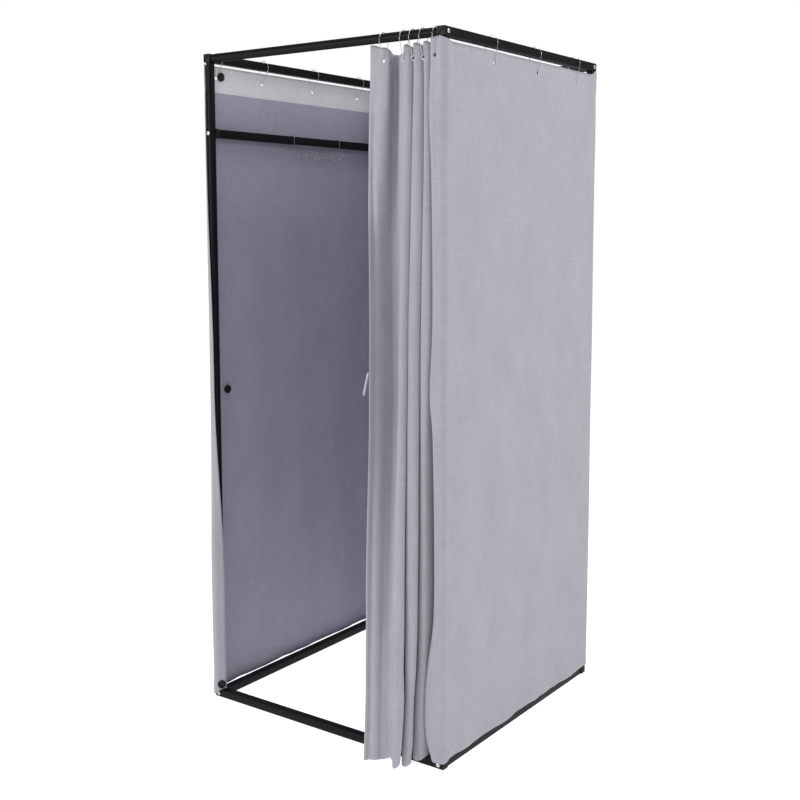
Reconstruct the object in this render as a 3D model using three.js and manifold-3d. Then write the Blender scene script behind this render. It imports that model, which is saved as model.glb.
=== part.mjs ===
// A portable fitting room: a black steel tube frame hung with grey cloth on wire rings.
// Millimetres, +Z up, +X to the right along the front, +Y from the front to the back.
// The origin is on the floor, under the middle of the whole part's box.

import * as THREE from 'three';
import { mergeVertices } from 'three/addons/utils/BufferGeometryUtils.js';
import Module from 'manifold-3d';

// Frame
const WIDTH = 870; // over the end plugs of the front and back bars
const DEPTH = 870; // over the end plugs of the side rails
const HEIGHT = 2000; // floor to the top of the rails
const TUBE = 25; // side of the square tubes
const TUBE_WALL = 1.2;
const TUBE_CORNER = 2; // outer corner radius of the square tubes
const POST = 25; // diameter of the four posts
const ROD = 25; // diameter of the round front and back rails
const GAP = 0.3; // between pieces that touch
const PEG_LENGTH = 60; // how far a peg stands into its post
const END_PLATE = 4; // welded plate with the screw thread in a tube's end
const PLUG_HEAD = 3;
const PLUG_INSERT = 8;
const PLUG_GROOVE_WIDTH = 12;
const PLUG_GROOVE_HEIGHT = 3;
const PLUG_GROOVE_DEPTH = 0.8;

// Screws
const SCREW = 6; // shank diameter
const SCREW_HEAD = 12;
const SCREW_HEAD_HEIGHT = 3.5;
const SCREW_HEAD_EDGE = 1.2; // chamfer of the head
const SCREW_SOCKET = 5; // hexagon socket across its corners
const SCREW_SOCKET_DEPTH = 2;
const SCREW_BEYOND = 4; // length past the end plate

// Crossbar on the left side
const CROSSBAR_DROP = 220; // from the top of the rails to the top of the crossbar
const SADDLE_REACH = 9; // from the post to the crossbar
const SADDLE_BITE = 5; // how far the saddle's cheeks reach round the post
const SADDLE_MARGIN = 1.5; // how much larger the saddle is than the crossbar, each side

// Rings
const RING_WIRE = 2.6;
const RING_SLACK = 2; // room between the loop and the rail's corners
const RING_FOOT = 5; // radius of the small end
const RING_SPAN = 44.6; // between the centres of the two ends
const RING_LATCH = 1; // opening between the wire's ends
const EYELET = 10; // hole in the cloth
const EYELET_DROP = 38; // from the cloth's top edge down to the eyelet
const EYELET_SLACK = 0.5; // between the wire and the top of the hole
const HANG_OUT = 8.5; // how far outside the rail's centre line the walls hang
const CORNER_RING = 31.5; // behind the front left post's centre line
const BACK_RING_PITCH = 246;

// Walls
const CLOTH = 2.5; // thickness, with its hems
const CLOTH_ROOM = 0.5; // between the cloth and what stands out of the frame
const LAYER_STEP = 4; // from one layer of cloth to the next at the back corners
const LEFT_HEM = 27; // heights of the lower edges above the floor
const RIGHT_HEM = 20;
const BACK_HEM = 22;
const FLAP_HEM = 11; // where the left wall's corner hangs in front of the bar
const WALL_WAVE = 5; // how far the soft folds stand out
const WAVE_RUN = 110; // how far from a post the folds grow to that
const HANG_RUN = 28; // how far from a post the wall comes in under its rail
const BAR_CORNER = 9; // how much squarer the cloth's corners are at the bars' ends
const BACK_RETURN = 42; // width of the side walls' returns onto the back
const RETURN_WIDTHS = [50, 50, 54, 34, 55, 51]; // of the right wall's return onto the front, going down
const RETURN_RING = 22.5; // its ring, from the right post's centre line
const RETURN_RING_OUT = 7.05; // its foot, outside the rail's centre line
const RETURN_EYELET = 13; // its hole, through two layers
const RETURN_EDGE = 14; // flat width along the return's edge
const RETURN_BELLY = 4; // how far the return stands out low down
const WRAP_EDGE = 8.5; // how far past the post's centre line the left wall wraps at half height
const FLAP_OUT = 24; // how far the flap's fold stands in front of the post's centre line
const FLAP_END = 22; // how far the flap's edge stands to the right of it
const FLAP_SIDE = 19; // how far the flap's outer corner stands to the left of it

// Curtain, gathered beside the right post. Distances in X are from that post's centre line.
const LEAD_EDGE = 229.5;
const LEAD_RING = 192.5;
const CURTAIN_RINGS = [126.5, 96.5, 64.5]; // the rings that follow it
const CURTAIN_END = 14.5;
const FOLD_WIDTH = 15; // of a fold at its ring
const FIRST_LEG = 156; // where the curtain first turns in, and where it last turns out
const LAST_LEG = 40;
const FOLD_DEPTH = 62;
const TURN = 6; // radius of the first and last turns
const END_OUT = 5.6; // how far outside the rod's centre line the last run hangs
const CURTAIN_SAG = 12; // of the top edge between two rings
const CURTAIN_HEADER = 58; // the folds spread below this band
const CURTAIN_HEM = 12;
const HEM_OVER_BAR = 28; // height of the lower edge where it hangs over the front bar
const HEM_RISE = 30; // over this run it rises to that
const LOW_LEAD_EDGE = 187.5;
const LOW_LEGS = [127.5, 106.5, 88.5, 80.5, 64.5, 56.5, 40.5, 32.5];
// How far outside the rod's centre line each turn stands at the lower edge, the leading edge first.
const LOW_REACHES = [100.5, 85.5, 17.5, 87.5, 17.5, 59.5, -14.5, 15.5, -39.5, 5];

// Closing buttons and loop
const BUTTON = 26;
const BUTTON_HEIGHT = 6;
const BUTTON_DISH = 2;
const BUTTON_RIM = 3;
const BUTTON_SHANK = 5;
const BUTTON_FLANGE = 14;
const BUTTON_FLANGE_THICKNESS = 1.4;
const BUTTON_ROOM = 0.8; // between the button and the cloth
const TOP_BUTTON_DROP = 33; // below the wall's top edge
const TOP_BUTTON = 48.5; // behind the front left post's centre line
const MIDDLE_BUTTON = 64.5;
const MIDDLE_BUTTON_HEIGHT = 980;
const LOW_BUTTON_HEIGHT = 44;
const LOOP_LENGTH = 66;
const LOOP_DEPTH = 6;
const LOOP_TAPE = 5; // width of the tape
const LOOP_THICKNESS = 1.4;
const LOOP_TOP = 1090;
const LOOP_LEAN_DEGREES = 14;

// Hook rack on the crossbar. Its places along the bar are from the middle of the cabin.
const RACK_WIRE = 3;
const RACK_HANGERS = [-57, 178];
const RACK_HOOKS = [-33, 23, 71, 114, 154];
const RACK_OUTER_LEG = 20; // how far a hanger reaches down outside the crossbar
const RACK_DROP = 3; // the long wire's centre under the crossbar
const HOOK_DROP = 42; // from the long wire down to the bend
const HOOK_BEND = 12;
const HOOK_REACH = 32;
const HOOK_RISE = 14;

// Counts
const ROUND_SIDES = 20;
const SMALL_SIDES = 12;
const WIRE_SIDES = 5;
const WALL_STEPS = 20;
const BEND_STEPS = 4;
const WAVES = 4;

// Shares of a wall's drop at its rows, and of its run at its rings
const DROP_SHARES = [0, 0.024, 0.05, 0.09, 0.2, 0.45, 0.62, 0.78, 0.9, 1];
const HUNG_SHARE = 0.024; // down to here a wall hangs at its rings
const FREE_SHARE = 0.09; // and from here it hangs outside the posts
const RETURN_DROP_SHARES = [0, 0.1, 0.5, 0.77, 0.885, 1];
const CURTAIN_DROP_SHARES = [0, 0.03, 0.2, 0.4, 0.6, 0.8, 1];
const LEFT_RING_SHARES = [0.2795, 0.5751, 0.8671];
const RIGHT_RING_SHARES = [0.2783, 0.5703, 0.8635];
const WRAP_SHARES = [0.12, 0.48]; // the left wall's edge moves over the post between these
const FLAP_SHARES = [0.5, 0.82]; // and turns into the flap between these

// Materials
const finish = (color, roughness, metalness) =>
  new THREE.MeshStandardMaterial({ color, roughness, metalness });
const BLACK_STEEL = finish('#17171a', 0.38, 0.4);
const BLACK_PLASTIC = finish('#101012', 0.5, 0);
const SILVER_STEEL = finish('#c9cacc', 0.28, 1);
const RING_STEEL = finish('#b9bac0', 0.3, 1);
const GREY_CLOTH = finish('#b6b6c2', 0.95, 0);
const WHITE_TAPE = finish('#d5d5da', 0.9, 0);

// Places that follow from the sizes
const lineX = WIDTH / 2 - PLUG_HEAD - TUBE / 2; // centre lines of the posts
const lineY = DEPTH / 2 - PLUG_HEAD - TUBE / 2;
const railZ = HEIGHT - TUBE / 2;
const rodZ = HEIGHT - ROD / 2;
const crossbarTop = HEIGHT - CROSSBAR_DROP;
const crossbarZ = crossbarTop - TUBE / 2;
const saddleEnd = lineY - POST / 2 - SADDLE_REACH;
const proudest = Math.max(
  TUBE / 2 + PLUG_HEAD, TUBE / 2 + GAP + SCREW_HEAD_HEIGHT, POST / 2 + GAP + SCREW_HEAD_HEIGHT);
const clothOut = proudest + CLOTH_ROOM + CLOTH / 2; // walls' mid-surface, from the posts' centre lines
const ringLoop = Math.max(TUBE * Math.SQRT1_2, ROD / 2) + RING_WIRE / 2 + RING_SLACK;
const ringInside = ringLoop - RING_WIRE / 2 - 2 * GAP; // the wire's bends are flats
const squareSeat = HEIGHT - Math.sqrt(ringInside ** 2 - (TUBE / 2) ** 2); // loop centre on a square rail
const rodSeat = HEIGHT - ringInside; // loop centre on a round rail
const wallFoot = squareSeat - Math.sqrt(RING_SPAN ** 2 - HANG_OUT ** 2);
const backFoot = rodSeat - Math.sqrt(RING_SPAN ** 2 - HANG_OUT ** 2);
const curtainFoot = rodSeat - RING_SPAN;
const eyeletUnder = RING_FOOT - RING_WIRE / 2 - EYELET_SLACK + EYELET / 2; // eyelet under the foot's centre
const topOf = (foot) => foot - eyeletUnder + EYELET_DROP;
const sideTop = topOf(wallFoot);
const backTop = topOf(backFoot);
const curtainTop = topOf(curtainFoot);

const wasm = await Module();
wasm.setup();

// Solids

function solid(geometry) {
  const bare = geometry.clone();
  bare.deleteAttribute('normal');
  bare.deleteAttribute('uv');
  const merged = mergeVertices(bare, 1e-4);
  return new wasm.Manifold(new wasm.Mesh({
    numProp: 3,
    vertProperties: new Float32Array(merged.attributes.position.array),
    triVerts: new Uint32Array(merged.index.array),
  }));
}

function geometryOf(shape) {
  const mesh = shape.getMesh();
  const geometry = new THREE.BufferGeometry();
  geometry.setAttribute('position', new THREE.BufferAttribute(new Float32Array(mesh.vertProperties), 3));
  geometry.setIndex(new THREE.BufferAttribute(new Uint32Array(mesh.triVerts), 1));
  geometry.computeVertexNormals();
  return geometry;
}

const join = (...shapes) => shapes.reduce((all, shape) => all.add(shape));
const cut = (shape, ...tools) => tools.reduce((rest, tool) => rest.subtract(tool), shape);

const cabin = new THREE.Group();
function place(name, shape, material) {
  const mesh = new THREE.Mesh(geometryOf(shape), material);
  mesh.name = name;
  cabin.add(mesh);
}

// Turns a geometry made along +Z so that it runs along the given direction, and moves it to a start.
function along(geometry, direction, start) {
  const turn = new THREE.Quaternion().setFromUnitVectors(
    new THREE.Vector3(0, 0, 1), direction.clone().normalize());
  return geometry.applyQuaternion(turn).translate(start.x, start.y, start.z);
}

const X = new THREE.Vector3(1, 0, 0);
const Y = new THREE.Vector3(0, 1, 0);
const Z = new THREE.Vector3(0, 0, 1);
const at = (x, y, z) => new THREE.Vector3(x, y, z);

function rod(diameter, length, direction, start, sides = SMALL_SIDES) {
  const shape = new THREE.CylinderGeometry(diameter / 2, diameter / 2, length, sides);
  shape.rotateX(Math.PI / 2).translate(0, 0, length / 2);
  return solid(along(shape, direction, start));
}

function roundedSquare(side, corner) {
  const half = side / 2;
  const inner = half - corner;
  const outline = new THREE.Shape();
  const corners = [[inner, -inner, 3], [inner, inner, 0], [-inner, inner, 1], [-inner, -inner, 2]];
  corners.forEach(([x, y, quarter]) => {
    outline.absarc(x, y, corner, quarter * Math.PI / 2, (quarter + 1) * Math.PI / 2);
  });
  return outline;
}

function block(outline, length, direction, start) {
  const bar = new THREE.ExtrudeGeometry(outline, { depth: length, bevelEnabled: false, curveSegments: 2 });
  return solid(along(bar, direction, start));
}

function box(low, high) {
  const size = high.clone().sub(low);
  const middle = high.clone().add(low).multiplyScalar(1 / 2);
  return solid(new THREE.BoxGeometry(size.x, size.y, size.z).translate(middle.x, middle.y, middle.z));
}

function squareTube(length, direction, start) {
  const inner = TUBE - 2 * TUBE_WALL;
  const outside = block(roundedSquare(TUBE, TUBE_CORNER), length, direction, start);
  return cut(outside, block(roundedSquare(inner, TUBE_WALL / 2), length + 2 * PLUG_HEAD, direction,
    start.clone().addScaledVector(direction, -PLUG_HEAD)));
}

function roundTube(diameter, length, direction, start) {
  const outside = rod(diameter, length, direction, start, ROUND_SIDES);
  const bore = rod(diameter - 2 * TUBE_WALL, length + 2 * PLUG_HEAD, direction,
    start.clone().addScaledVector(direction, -PLUG_HEAD), ROUND_SIDES);
  return cut(outside, bore);
}

const shankHole = (direction, start, length) => rod(SCREW + 2 * GAP, length, direction, start);

// Frame tubes

// A full-width tube that carries a peg at each end and takes a screw across each end.
function crossTube(direction, across, centre, length, pegUp) {
  const start = centre.clone().addScaledVector(direction, -length / 2);
  let tube = squareTube(length, direction, start);
  const pegWidth = POST - 2 * TUBE_WALL - 2 * GAP;
  const pegLine = (direction.x ? lineX : lineY);
  for (const end of [-1, 1]) {
    const root = centre.clone().addScaledVector(direction, end * pegLine);
    const foot = root.clone().addScaledVector(Z, pegUp * (TUBE / 2 - TUBE_WALL / 2));
    tube = tube.add(rod(pegWidth, PEG_LENGTH, Z.clone().multiplyScalar(pegUp), foot, ROUND_SIDES));
    const side = root.clone().addScaledVector(across, -TUBE);
    tube = tube.subtract(shankHole(across, side, 2 * TUBE));
  }
  return tube;
}

// A tube between two others, closed at each end by a welded plate with the screw's thread.
function tieTube(tube, width, direction, centre, length, sides) {
  let whole = tube;
  for (const end of [-1, 1]) {
    const outward = direction.clone().multiplyScalar(end);
    const root = centre.clone().addScaledVector(outward, length / 2 - END_PLATE);
    const plate = sides ? rod(width - TUBE_WALL, END_PLATE, outward, root, sides)
      : block(roundedSquare(width - TUBE_WALL, TUBE_WALL), END_PLATE, outward, root);
    const hole = shankHole(outward, root.clone().addScaledVector(outward, -END_PLATE), 3 * END_PLATE);
    whole = whole.add(plate).subtract(hole);
  }
  return whole;
}

// An end plug: a head over the tube's end, a groove across its face and an insert in the tube.
function plug(outward, end) {
  const insert = TUBE - 2 * TUBE_WALL - 2 * GAP;
  const seat = end.clone().addScaledVector(outward, GAP);
  const head = block(roundedSquare(TUBE, TUBE_CORNER), PLUG_HEAD - GAP, outward, seat);
  const tail = block(roundedSquare(insert, TUBE_WALL / 2), PLUG_INSERT, outward,
    end.clone().addScaledVector(outward, -PLUG_INSERT + GAP));
  const sideways = new THREE.Vector3().crossVectors(Z, outward).normalize();
  const face = end.clone().addScaledVector(outward, PLUG_HEAD - PLUG_GROOVE_DEPTH);
  const half = sideways.clone().multiplyScalar(PLUG_GROOVE_WIDTH / 2)
    .addScaledVector(Z, PLUG_GROOVE_HEIGHT / 2);
  const deep = outward.clone().multiplyScalar(PLUG_HEAD);
  const corners = new THREE.Box3().setFromPoints([face.clone().sub(half), face.clone().add(half).add(deep)]);
  return cut(join(head, tail), box(corners.min, corners.max));
}

function screw(inward, seat, length) {
  const outward = inward.clone().negate();
  const edge = SCREW_HEAD / 2 - SCREW_HEAD_EDGE;
  const profile = [[0, -length], [SCREW / 2, -length], [SCREW / 2, 0], [SCREW_HEAD / 2, 0],
    [SCREW_HEAD / 2, SCREW_HEAD_HEIGHT - SCREW_HEAD_EDGE], [edge, SCREW_HEAD_HEIGHT], [0, SCREW_HEAD_HEIGHT]];
  const turned = new THREE.LatheGeometry(profile.map(([r, z]) => new THREE.Vector2(r, z)), SMALL_SIDES);
  turned.rotateX(Math.PI / 2);
  const body = solid(along(turned, outward, seat));
  const socket = rod(SCREW_SOCKET, 2 * SCREW_SOCKET_DEPTH, outward,
    seat.clone().addScaledVector(outward, SCREW_HEAD_HEIGHT - SCREW_SOCKET_DEPTH), 6);
  return cut(body, socket);
}

const topLength = DEPTH - 2 * PLUG_HEAD;
const bottomLength = WIDTH - 2 * PLUG_HEAD;
const tubeScrew = TUBE + 2 * GAP + END_PLATE + SCREW_BEYOND;
for (const [side, sx] of [['left', -1], ['right', 1]]) {
  place(`top_rail_${side}`, crossTube(Y, X, at(sx * lineX, 0, railZ), topLength, -1), BLACK_STEEL);
  const barLength = 2 * (lineY - TUBE / 2 - GAP);
  const barCentre = at(sx * lineX, 0, TUBE / 2);
  const bar = squareTube(barLength, Y, at(sx * lineX, -barLength / 2, TUBE / 2));
  place(`bottom_bar_${side}`, tieTube(bar, TUBE, Y, barCentre, barLength), BLACK_STEEL);
}
for (const [side, sy] of [['front', -1], ['back', 1]]) {
  place(`bottom_bar_${side}`, crossTube(X, Y, at(0, sy * lineY, TUBE / 2), bottomLength, 1), BLACK_STEEL);
  const rodLength = 2 * (lineX - TUBE / 2 - GAP);
  const rail = roundTube(ROD, rodLength, X, at(-rodLength / 2, sy * lineY, rodZ));
  place(`top_rail_${side}`,
    tieTube(rail, ROD, X, at(0, sy * lineY, rodZ), rodLength, ROUND_SIDES), BLACK_STEEL);
}

for (const [side, sx] of [['left', -1], ['right', 1]]) {
  for (const [end, sy] of [['front', -1], ['back', 1]]) {
    const outX = X.clone().multiplyScalar(sx);
    const outY = Y.clone().multiplyScalar(sy);
    const foot = at(sx * lineX, sy * lineY, TUBE + GAP);
    let post = roundTube(POST, HEIGHT - 2 * TUBE - 2 * GAP, Z, foot);
    if (sx < 0) {
      const front = at(sx * lineX, sy * lineY, crossbarZ).addScaledVector(outY, POST);
      post = post.subtract(shankHole(outY.clone().negate(), front, 2 * POST));
    }
    place(`post_${end}_${side}`, post, BLACK_STEEL);
    place(`rail_plug_${end}_${side}`,
      plug(outY, at(sx * lineX, sy * topLength / 2, railZ)), BLACK_PLASTIC);
    place(`bar_plug_${end}_${side}`,
      plug(outX, at(sx * bottomLength / 2, sy * lineY, TUBE / 2)), BLACK_PLASTIC);
    const railSeat = at(sx * (lineX + TUBE / 2 + GAP), sy * lineY, rodZ);
    place(`rail_screw_${end}_${side}`,
      screw(outX.clone().negate(), railSeat, tubeScrew), SILVER_STEEL);
    const barSeat = at(sx * lineX, sy * (lineY + TUBE / 2 + GAP), TUBE / 2);
    place(`bar_screw_${end}_${side}`,
      screw(outY.clone().negate(), barSeat, tubeScrew), SILVER_STEEL);
  }
}

// Crossbar between the left posts, with a saddle at each end

const crossbarLength = 2 * (saddleEnd - GAP);
const crossbarStart = at(-lineX, -crossbarLength / 2, crossbarZ);
const crossbar = squareTube(crossbarLength, Y, crossbarStart);
place('crossbar', tieTube(crossbar, TUBE, Y, at(-lineX, 0, crossbarZ), crossbarLength), BLACK_STEEL);
for (const [end, sy] of [['front', -1], ['back', 1]]) {
  const outY = Y.clone().multiplyScalar(sy);
  const width = TUBE + 2 * SADDLE_MARGIN;
  const length = SADDLE_REACH + SADDLE_BITE;
  const saddle = block(roundedSquare(width, TUBE_CORNER), length, outY, at(-lineX, sy * saddleEnd, crossbarZ));
  const post = rod(POST + 2 * GAP, 2 * width, Z, at(-lineX, sy * lineY, crossbarZ - width), ROUND_SIDES);
  const hole = shankHole(outY.clone().negate(), at(-lineX, sy * lineY, crossbarZ), POST);
  place(`saddle_${end}`, cut(saddle, post, hole), BLACK_PLASTIC);
  const seat = at(-lineX, sy * (lineY + POST / 2 + GAP), crossbarZ);
  const reach = POST + SADDLE_REACH + 2 * GAP + END_PLATE + SCREW_BEYOND;
  place(`crossbar_screw_${end}`, screw(outY.clone().negate(), seat, reach), SILVER_STEEL);
}

// Wire

// A wire through points that lie in one plane, given by its normal.
function wire(points, normal, diameter) {
  const corners = [];
  const faces = [];
  const last = points.length - 1;
  points.forEach((point, i) => {
    const before = point.clone().sub(points[Math.max(0, i - 1)]).normalize();
    const after = points[Math.min(last, i + 1)].clone().sub(point).normalize();
    const ahead = before.clone().add(after).normalize();
    const stretch = 1 / Math.max(ahead.dot(after), ahead.dot(before)); // keeps the wire's width in a bend
    const side = new THREE.Vector3().crossVectors(normal, ahead).normalize();
    for (let k = 0; k < WIRE_SIDES; k += 1) {
      const turn = 2 * Math.PI * k / WIRE_SIDES;
      const spot = point.clone().addScaledVector(side, stretch * diameter / 2 * Math.cos(turn))
        .addScaledVector(normal, diameter / 2 * Math.sin(turn));
      corners.push(spot.x, spot.y, spot.z);
    }
  });
  for (let k = 0; k < WIRE_SIDES; k += 1) {
    const next = (k + 1) % WIRE_SIDES;
    for (let i = 0; i < last; i += 1) {
      const a = i * WIRE_SIDES;
      const b = a + WIRE_SIDES;
      faces.push(a + k, a + next, b + next, a + k, b + next, b + k);
    }
    if (k && next) faces.push(0, next, k, last * WIRE_SIDES, last * WIRE_SIDES + k, last * WIRE_SIDES + next);
  }
  const geometry = new THREE.BufferGeometry();
  geometry.setAttribute('position', new THREE.Float32BufferAttribute(corners, 3));
  geometry.setIndex(faces);
  return solid(geometry);
}

// A pear-shaped ring: a large loop round the rail, drawn in to a small foot in the eyelet.
// across points from the loop's centre to the side where the cloth hangs.
function ring(name, loopCentre, footCentre, across) {
  const down = footCentre.clone().sub(loopCentre);
  const span = down.length();
  down.normalize();
  const side = across.clone().addScaledVector(down, -across.dot(down)).normalize();
  const lean = Math.asin((ringLoop - RING_FOOT) / span); // the straight stretches lean in by this
  const points = [];
  const arc = (middle, radius, from, to, count) => {
    for (let i = 0; i <= count; i += 1) {
      const angle = from + (to - from) * i / count;
      points.push(middle.clone().addScaledVector(side, radius * Math.cos(angle))
        .addScaledVector(down, radius * Math.sin(angle)));
    }
  };
  arc(footCentre, RING_FOOT, Math.PI - lean - RING_LATCH / RING_FOOT, lean, BEND_STEPS);
  arc(loopCentre, ringLoop, lean, -Math.PI - lean, 2 * BEND_STEPS);
  const last = points[points.length - 1];
  const shut = footCentre.clone().addScaledVector(side, -RING_FOOT * Math.cos(lean))
    .addScaledVector(down, RING_FOOT * Math.sin(lean));
  const stretch = shut.sub(last);
  points.push(last.clone().add(stretch.setLength(stretch.length() - RING_LATCH)));
  const normal = new THREE.Vector3().crossVectors(side, down).normalize();
  place(name, wire(points, normal, RING_WIRE), RING_STEEL);
}

// Cloth

const mix = (a, b, share) => a + (b - a) * share;
const clamped = (share) => Math.min(1, Math.max(0, share));
const smooth = (share) => clamped(share) ** 2 * (3 - 2 * clamped(share));
const between = ([from, to], share) => smooth((share - from) / (to - from));

// A value read smoothly from a table of values at rising shares.
function read(shares, values, share) {
  const next = Math.max(1, shares.findIndex((mark) => mark >= share));
  return mix(values[next - 1], values[next], between([shares[next - 1], shares[next]], share));
}

// A closed sheet through rows of [x, y, z] points, all with the same count, offset to both faces.
function sheet(rows) {
  const columns = rows[0].length;
  const faces = [];
  const corners = [];
  for (const half of [CLOTH / 2, -CLOTH / 2]) {
    for (const row of rows) {
      row.forEach(([x, y, z], i) => {
        const [beforeX, beforeY] = row[Math.max(0, i - 1)];
        const [afterX, afterY] = row[Math.min(columns - 1, i + 1)];
        const length = Math.hypot(afterX - beforeX, afterY - beforeY);
        corners.push(x + half * (afterY - beforeY) / length, y - half * (afterX - beforeX) / length, z);
      });
    }
  }
  const back = rows.length * columns;
  const quad = (a, b, c, d) => faces.push(a, b, c, a, c, d);
  for (let j = 0; j + 1 < rows.length; j += 1) {
    for (let i = 0; i + 1 < columns; i += 1) {
      const a = j * columns + i;
      quad(a, a + columns, a + columns + 1, a + 1);
      quad(back + a, back + a + 1, back + a + columns + 1, back + a + columns);
    }
    const first = j * columns;
    const last = first + columns - 1;
    quad(first, back + first, back + first + columns, first + columns);
    quad(last + columns, back + last + columns, back + last, last);
  }
  for (let i = 0; i + 1 < columns; i += 1) {
    const low = (rows.length - 1) * columns + i;
    quad(i + 1, back + i + 1, back + i, i);
    quad(low, back + low, back + low + 1, low + 1);
  }
  const geometry = new THREE.BufferGeometry();
  geometry.setAttribute('position', new THREE.Float32BufferAttribute(corners, 3));
  geometry.setIndex(faces);
  return solid(geometry);
}

function holed(cloth, spot, direction, diameter) {
  const reach = POST;
  const start = spot.clone().addScaledVector(direction, -reach / 4);
  return cloth.subtract(rod(diameter, reach / 2, direction, start));
}

const eyeletBelow = (foot) => foot.clone().addScaledVector(Z, -eyeletUnder);

// Points round a corner post at (x, y), from one plan angle to another, in degrees.
function arcRound(x, y, radiusX, radiusY, from, to, count) {
  const spots = [];
  for (let i = 0; i <= count; i += 1) {
    const angle = THREE.MathUtils.degToRad(mix(from, to, i / count));
    spots.push([x + radiusX * Math.cos(angle), y + radiusY * Math.sin(angle)]);
  }
  return spots;
}

// How far outside the posts' line a wall stands, at a share of its drop and a place along its run.
// At its rings it is drawn in under its rail. Below them soft waves stand out.
function wallOut(share, place, run) {
  const nearest = Math.min(place, run - place);
  const hung = (clothOut - HANG_OUT) * (1 - between([HUNG_SHARE, FREE_SHARE], share))
    * smooth(nearest / HANG_RUN);
  const crest = (1 - Math.cos(2 * Math.PI * WAVES * place / run)) / 2;
  return clothOut - hung + WALL_WAVE * smooth(share) * crest * smooth(nearest / WAVE_RUN);
}

// Places along a wall's run for its columns, closer together beside the posts.
function columnPlaces(run) {
  const places = [HANG_RUN / 2, HANG_RUN];
  for (let i = 1; i < WALL_STEPS; i += 1) places.push(mix(HANG_RUN, run - HANG_RUN, i / WALL_STEPS));
  return places.concat([run - HANG_RUN, run - HANG_RUN / 2]);
}

// One side wall, from its front edge to its return onto the back. side is -1 or 1.
function sideWall(side, hem, frontEdge) {
  const run = 2 * lineY;
  const rows = DROP_SHARES.map((share) => {
    const row = frontEdge(share).map(([x, y, low]) => [x, y, mix(sideTop, low, share)]);
    const z = mix(sideTop, hem, share);
    for (const along01 of columnPlaces(run)) {
      row.push([side * (lineX + wallOut(share, along01, run)), along01 - lineY, z]);
    }
    const square = BAR_CORNER * smooth(share);
    const reachX = clothOut - square;
    const reachY = clothOut + LAYER_STEP - square;
    for (const [x, y] of arcRound(lineX + square, lineY + square, reachX, reachY, 0, 90, BEND_STEPS)) {
      row.push([side * x, y, z]);
    }
    row.push([side * (lineX - HANG_RUN / 2), lineY + clothOut + LAYER_STEP, z]);
    row.push([side * (lineX + clothOut - BACK_RETURN), lineY + clothOut + LAYER_STEP, z]);
    return side > 0 ? row : row.reverse();
  });
  return sheet(rows);
}

// The left wall turns round the front post. Its edge creeps further over the post towards the floor,
// where the corner hangs as a flap across the post.
const flapPlan = [
  [FLAP_END, -FLAP_OUT + FLAP_END + TUBE_WALL], [FLAP_END / 2, -FLAP_OUT + FLAP_END / 2 + TUBE_WALL],
  [0, -FLAP_OUT + TUBE_WALL], [-clothOut + TURN, -FLAP_OUT + TUBE_WALL],
  [-FLAP_SIDE, -FLAP_OUT + TURN + LAYER_STEP],
  [-clothOut, 0]].map(([x, y]) => [x - lineX, y - lineY]);
function leftFront(share) {
  const narrow = arcRound(-lineX, -lineY, clothOut, clothOut, 244, 180, 5);
  const wide = [[WRAP_EDGE - lineX, -lineY - clothOut],
    ...arcRound(-lineX, -lineY, clothOut, clothOut, 270, 180, 4)];
  const toWide = between(WRAP_SHARES, share);
  const toFlap = between(FLAP_SHARES, share);
  const rise = (LEFT_HEM - FLAP_HEM) / 3;
  const lows = [LEFT_HEM + rise / 2, LEFT_HEM + GAP, FLAP_HEM + rise, FLAP_HEM, FLAP_HEM, LEFT_HEM];
  return narrow.map(([x, y], i) => {
    const beside = mix(x, wide[i][0], toWide);
    const before = mix(y, wide[i][1], toWide);
    return [mix(beside, flapPlan[i][0], toFlap), mix(before, flapPlan[i][1], toFlap), lows[i]];
  });
}

// The right wall turns onto the front, where its edge ripples.
function rightFront(share) {
  const edge = lineX + clothOut - read(RETURN_DROP_SHARES, RETURN_WIDTHS, share);
  const out = clothOut - (clothOut - HANG_OUT) * (1 - between([HUNG_SHARE, FREE_SHARE], share));
  const belly = RETURN_BELLY * between([1 / 2, 1], share);
  const square = BAR_CORNER * smooth(share);
  const flatEnd = Math.min(edge + RETURN_EDGE, lineX - POST / 3);
  const front = [[edge, -lineY - out, RIGHT_HEM + RETURN_BELLY], [flatEnd, -lineY - out - belly, RIGHT_HEM],
    [lineX - POST / 6, -lineY - mix(out, clothOut, 3 / 4) - belly / 2, RIGHT_HEM]];
  const corner = arcRound(lineX + square, -lineY - square, clothOut - square, clothOut - square, -90, 0, BEND_STEPS);
  return front.concat(corner.map(([x, y]) => [x, y, RIGHT_HEM]));
}

let leftWall = sideWall(-1, LEFT_HEM, leftFront);
let rightWall = sideWall(1, RIGHT_HEM, rightFront);
const sideFoot = (sx, place) => at(sx * (lineX + HANG_OUT), place - lineY, wallFoot);
function sideRing(name, sx, place) {
  ring(name, at(sx * lineX, place - lineY, squareSeat), sideFoot(sx, place), X.clone().multiplyScalar(sx));
}
['front', 'middle', 'back'].forEach((spot, i) => {
  const left = 2 * lineY * LEFT_RING_SHARES[i];
  const right = 2 * lineY * RIGHT_RING_SHARES[i];
  sideRing(`wall_ring_left_${spot}`, -1, left);
  sideRing(`wall_ring_right_${spot}`, 1, right);
  leftWall = holed(leftWall, eyeletBelow(sideFoot(-1, left)), X, EYELET);
  rightWall = holed(rightWall, eyeletBelow(sideFoot(1, right)), X, EYELET);
});
sideRing('wall_ring_left_corner', -1, CORNER_RING);
leftWall = holed(leftWall, eyeletBelow(sideFoot(-1, CORNER_RING)), X, EYELET);

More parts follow.
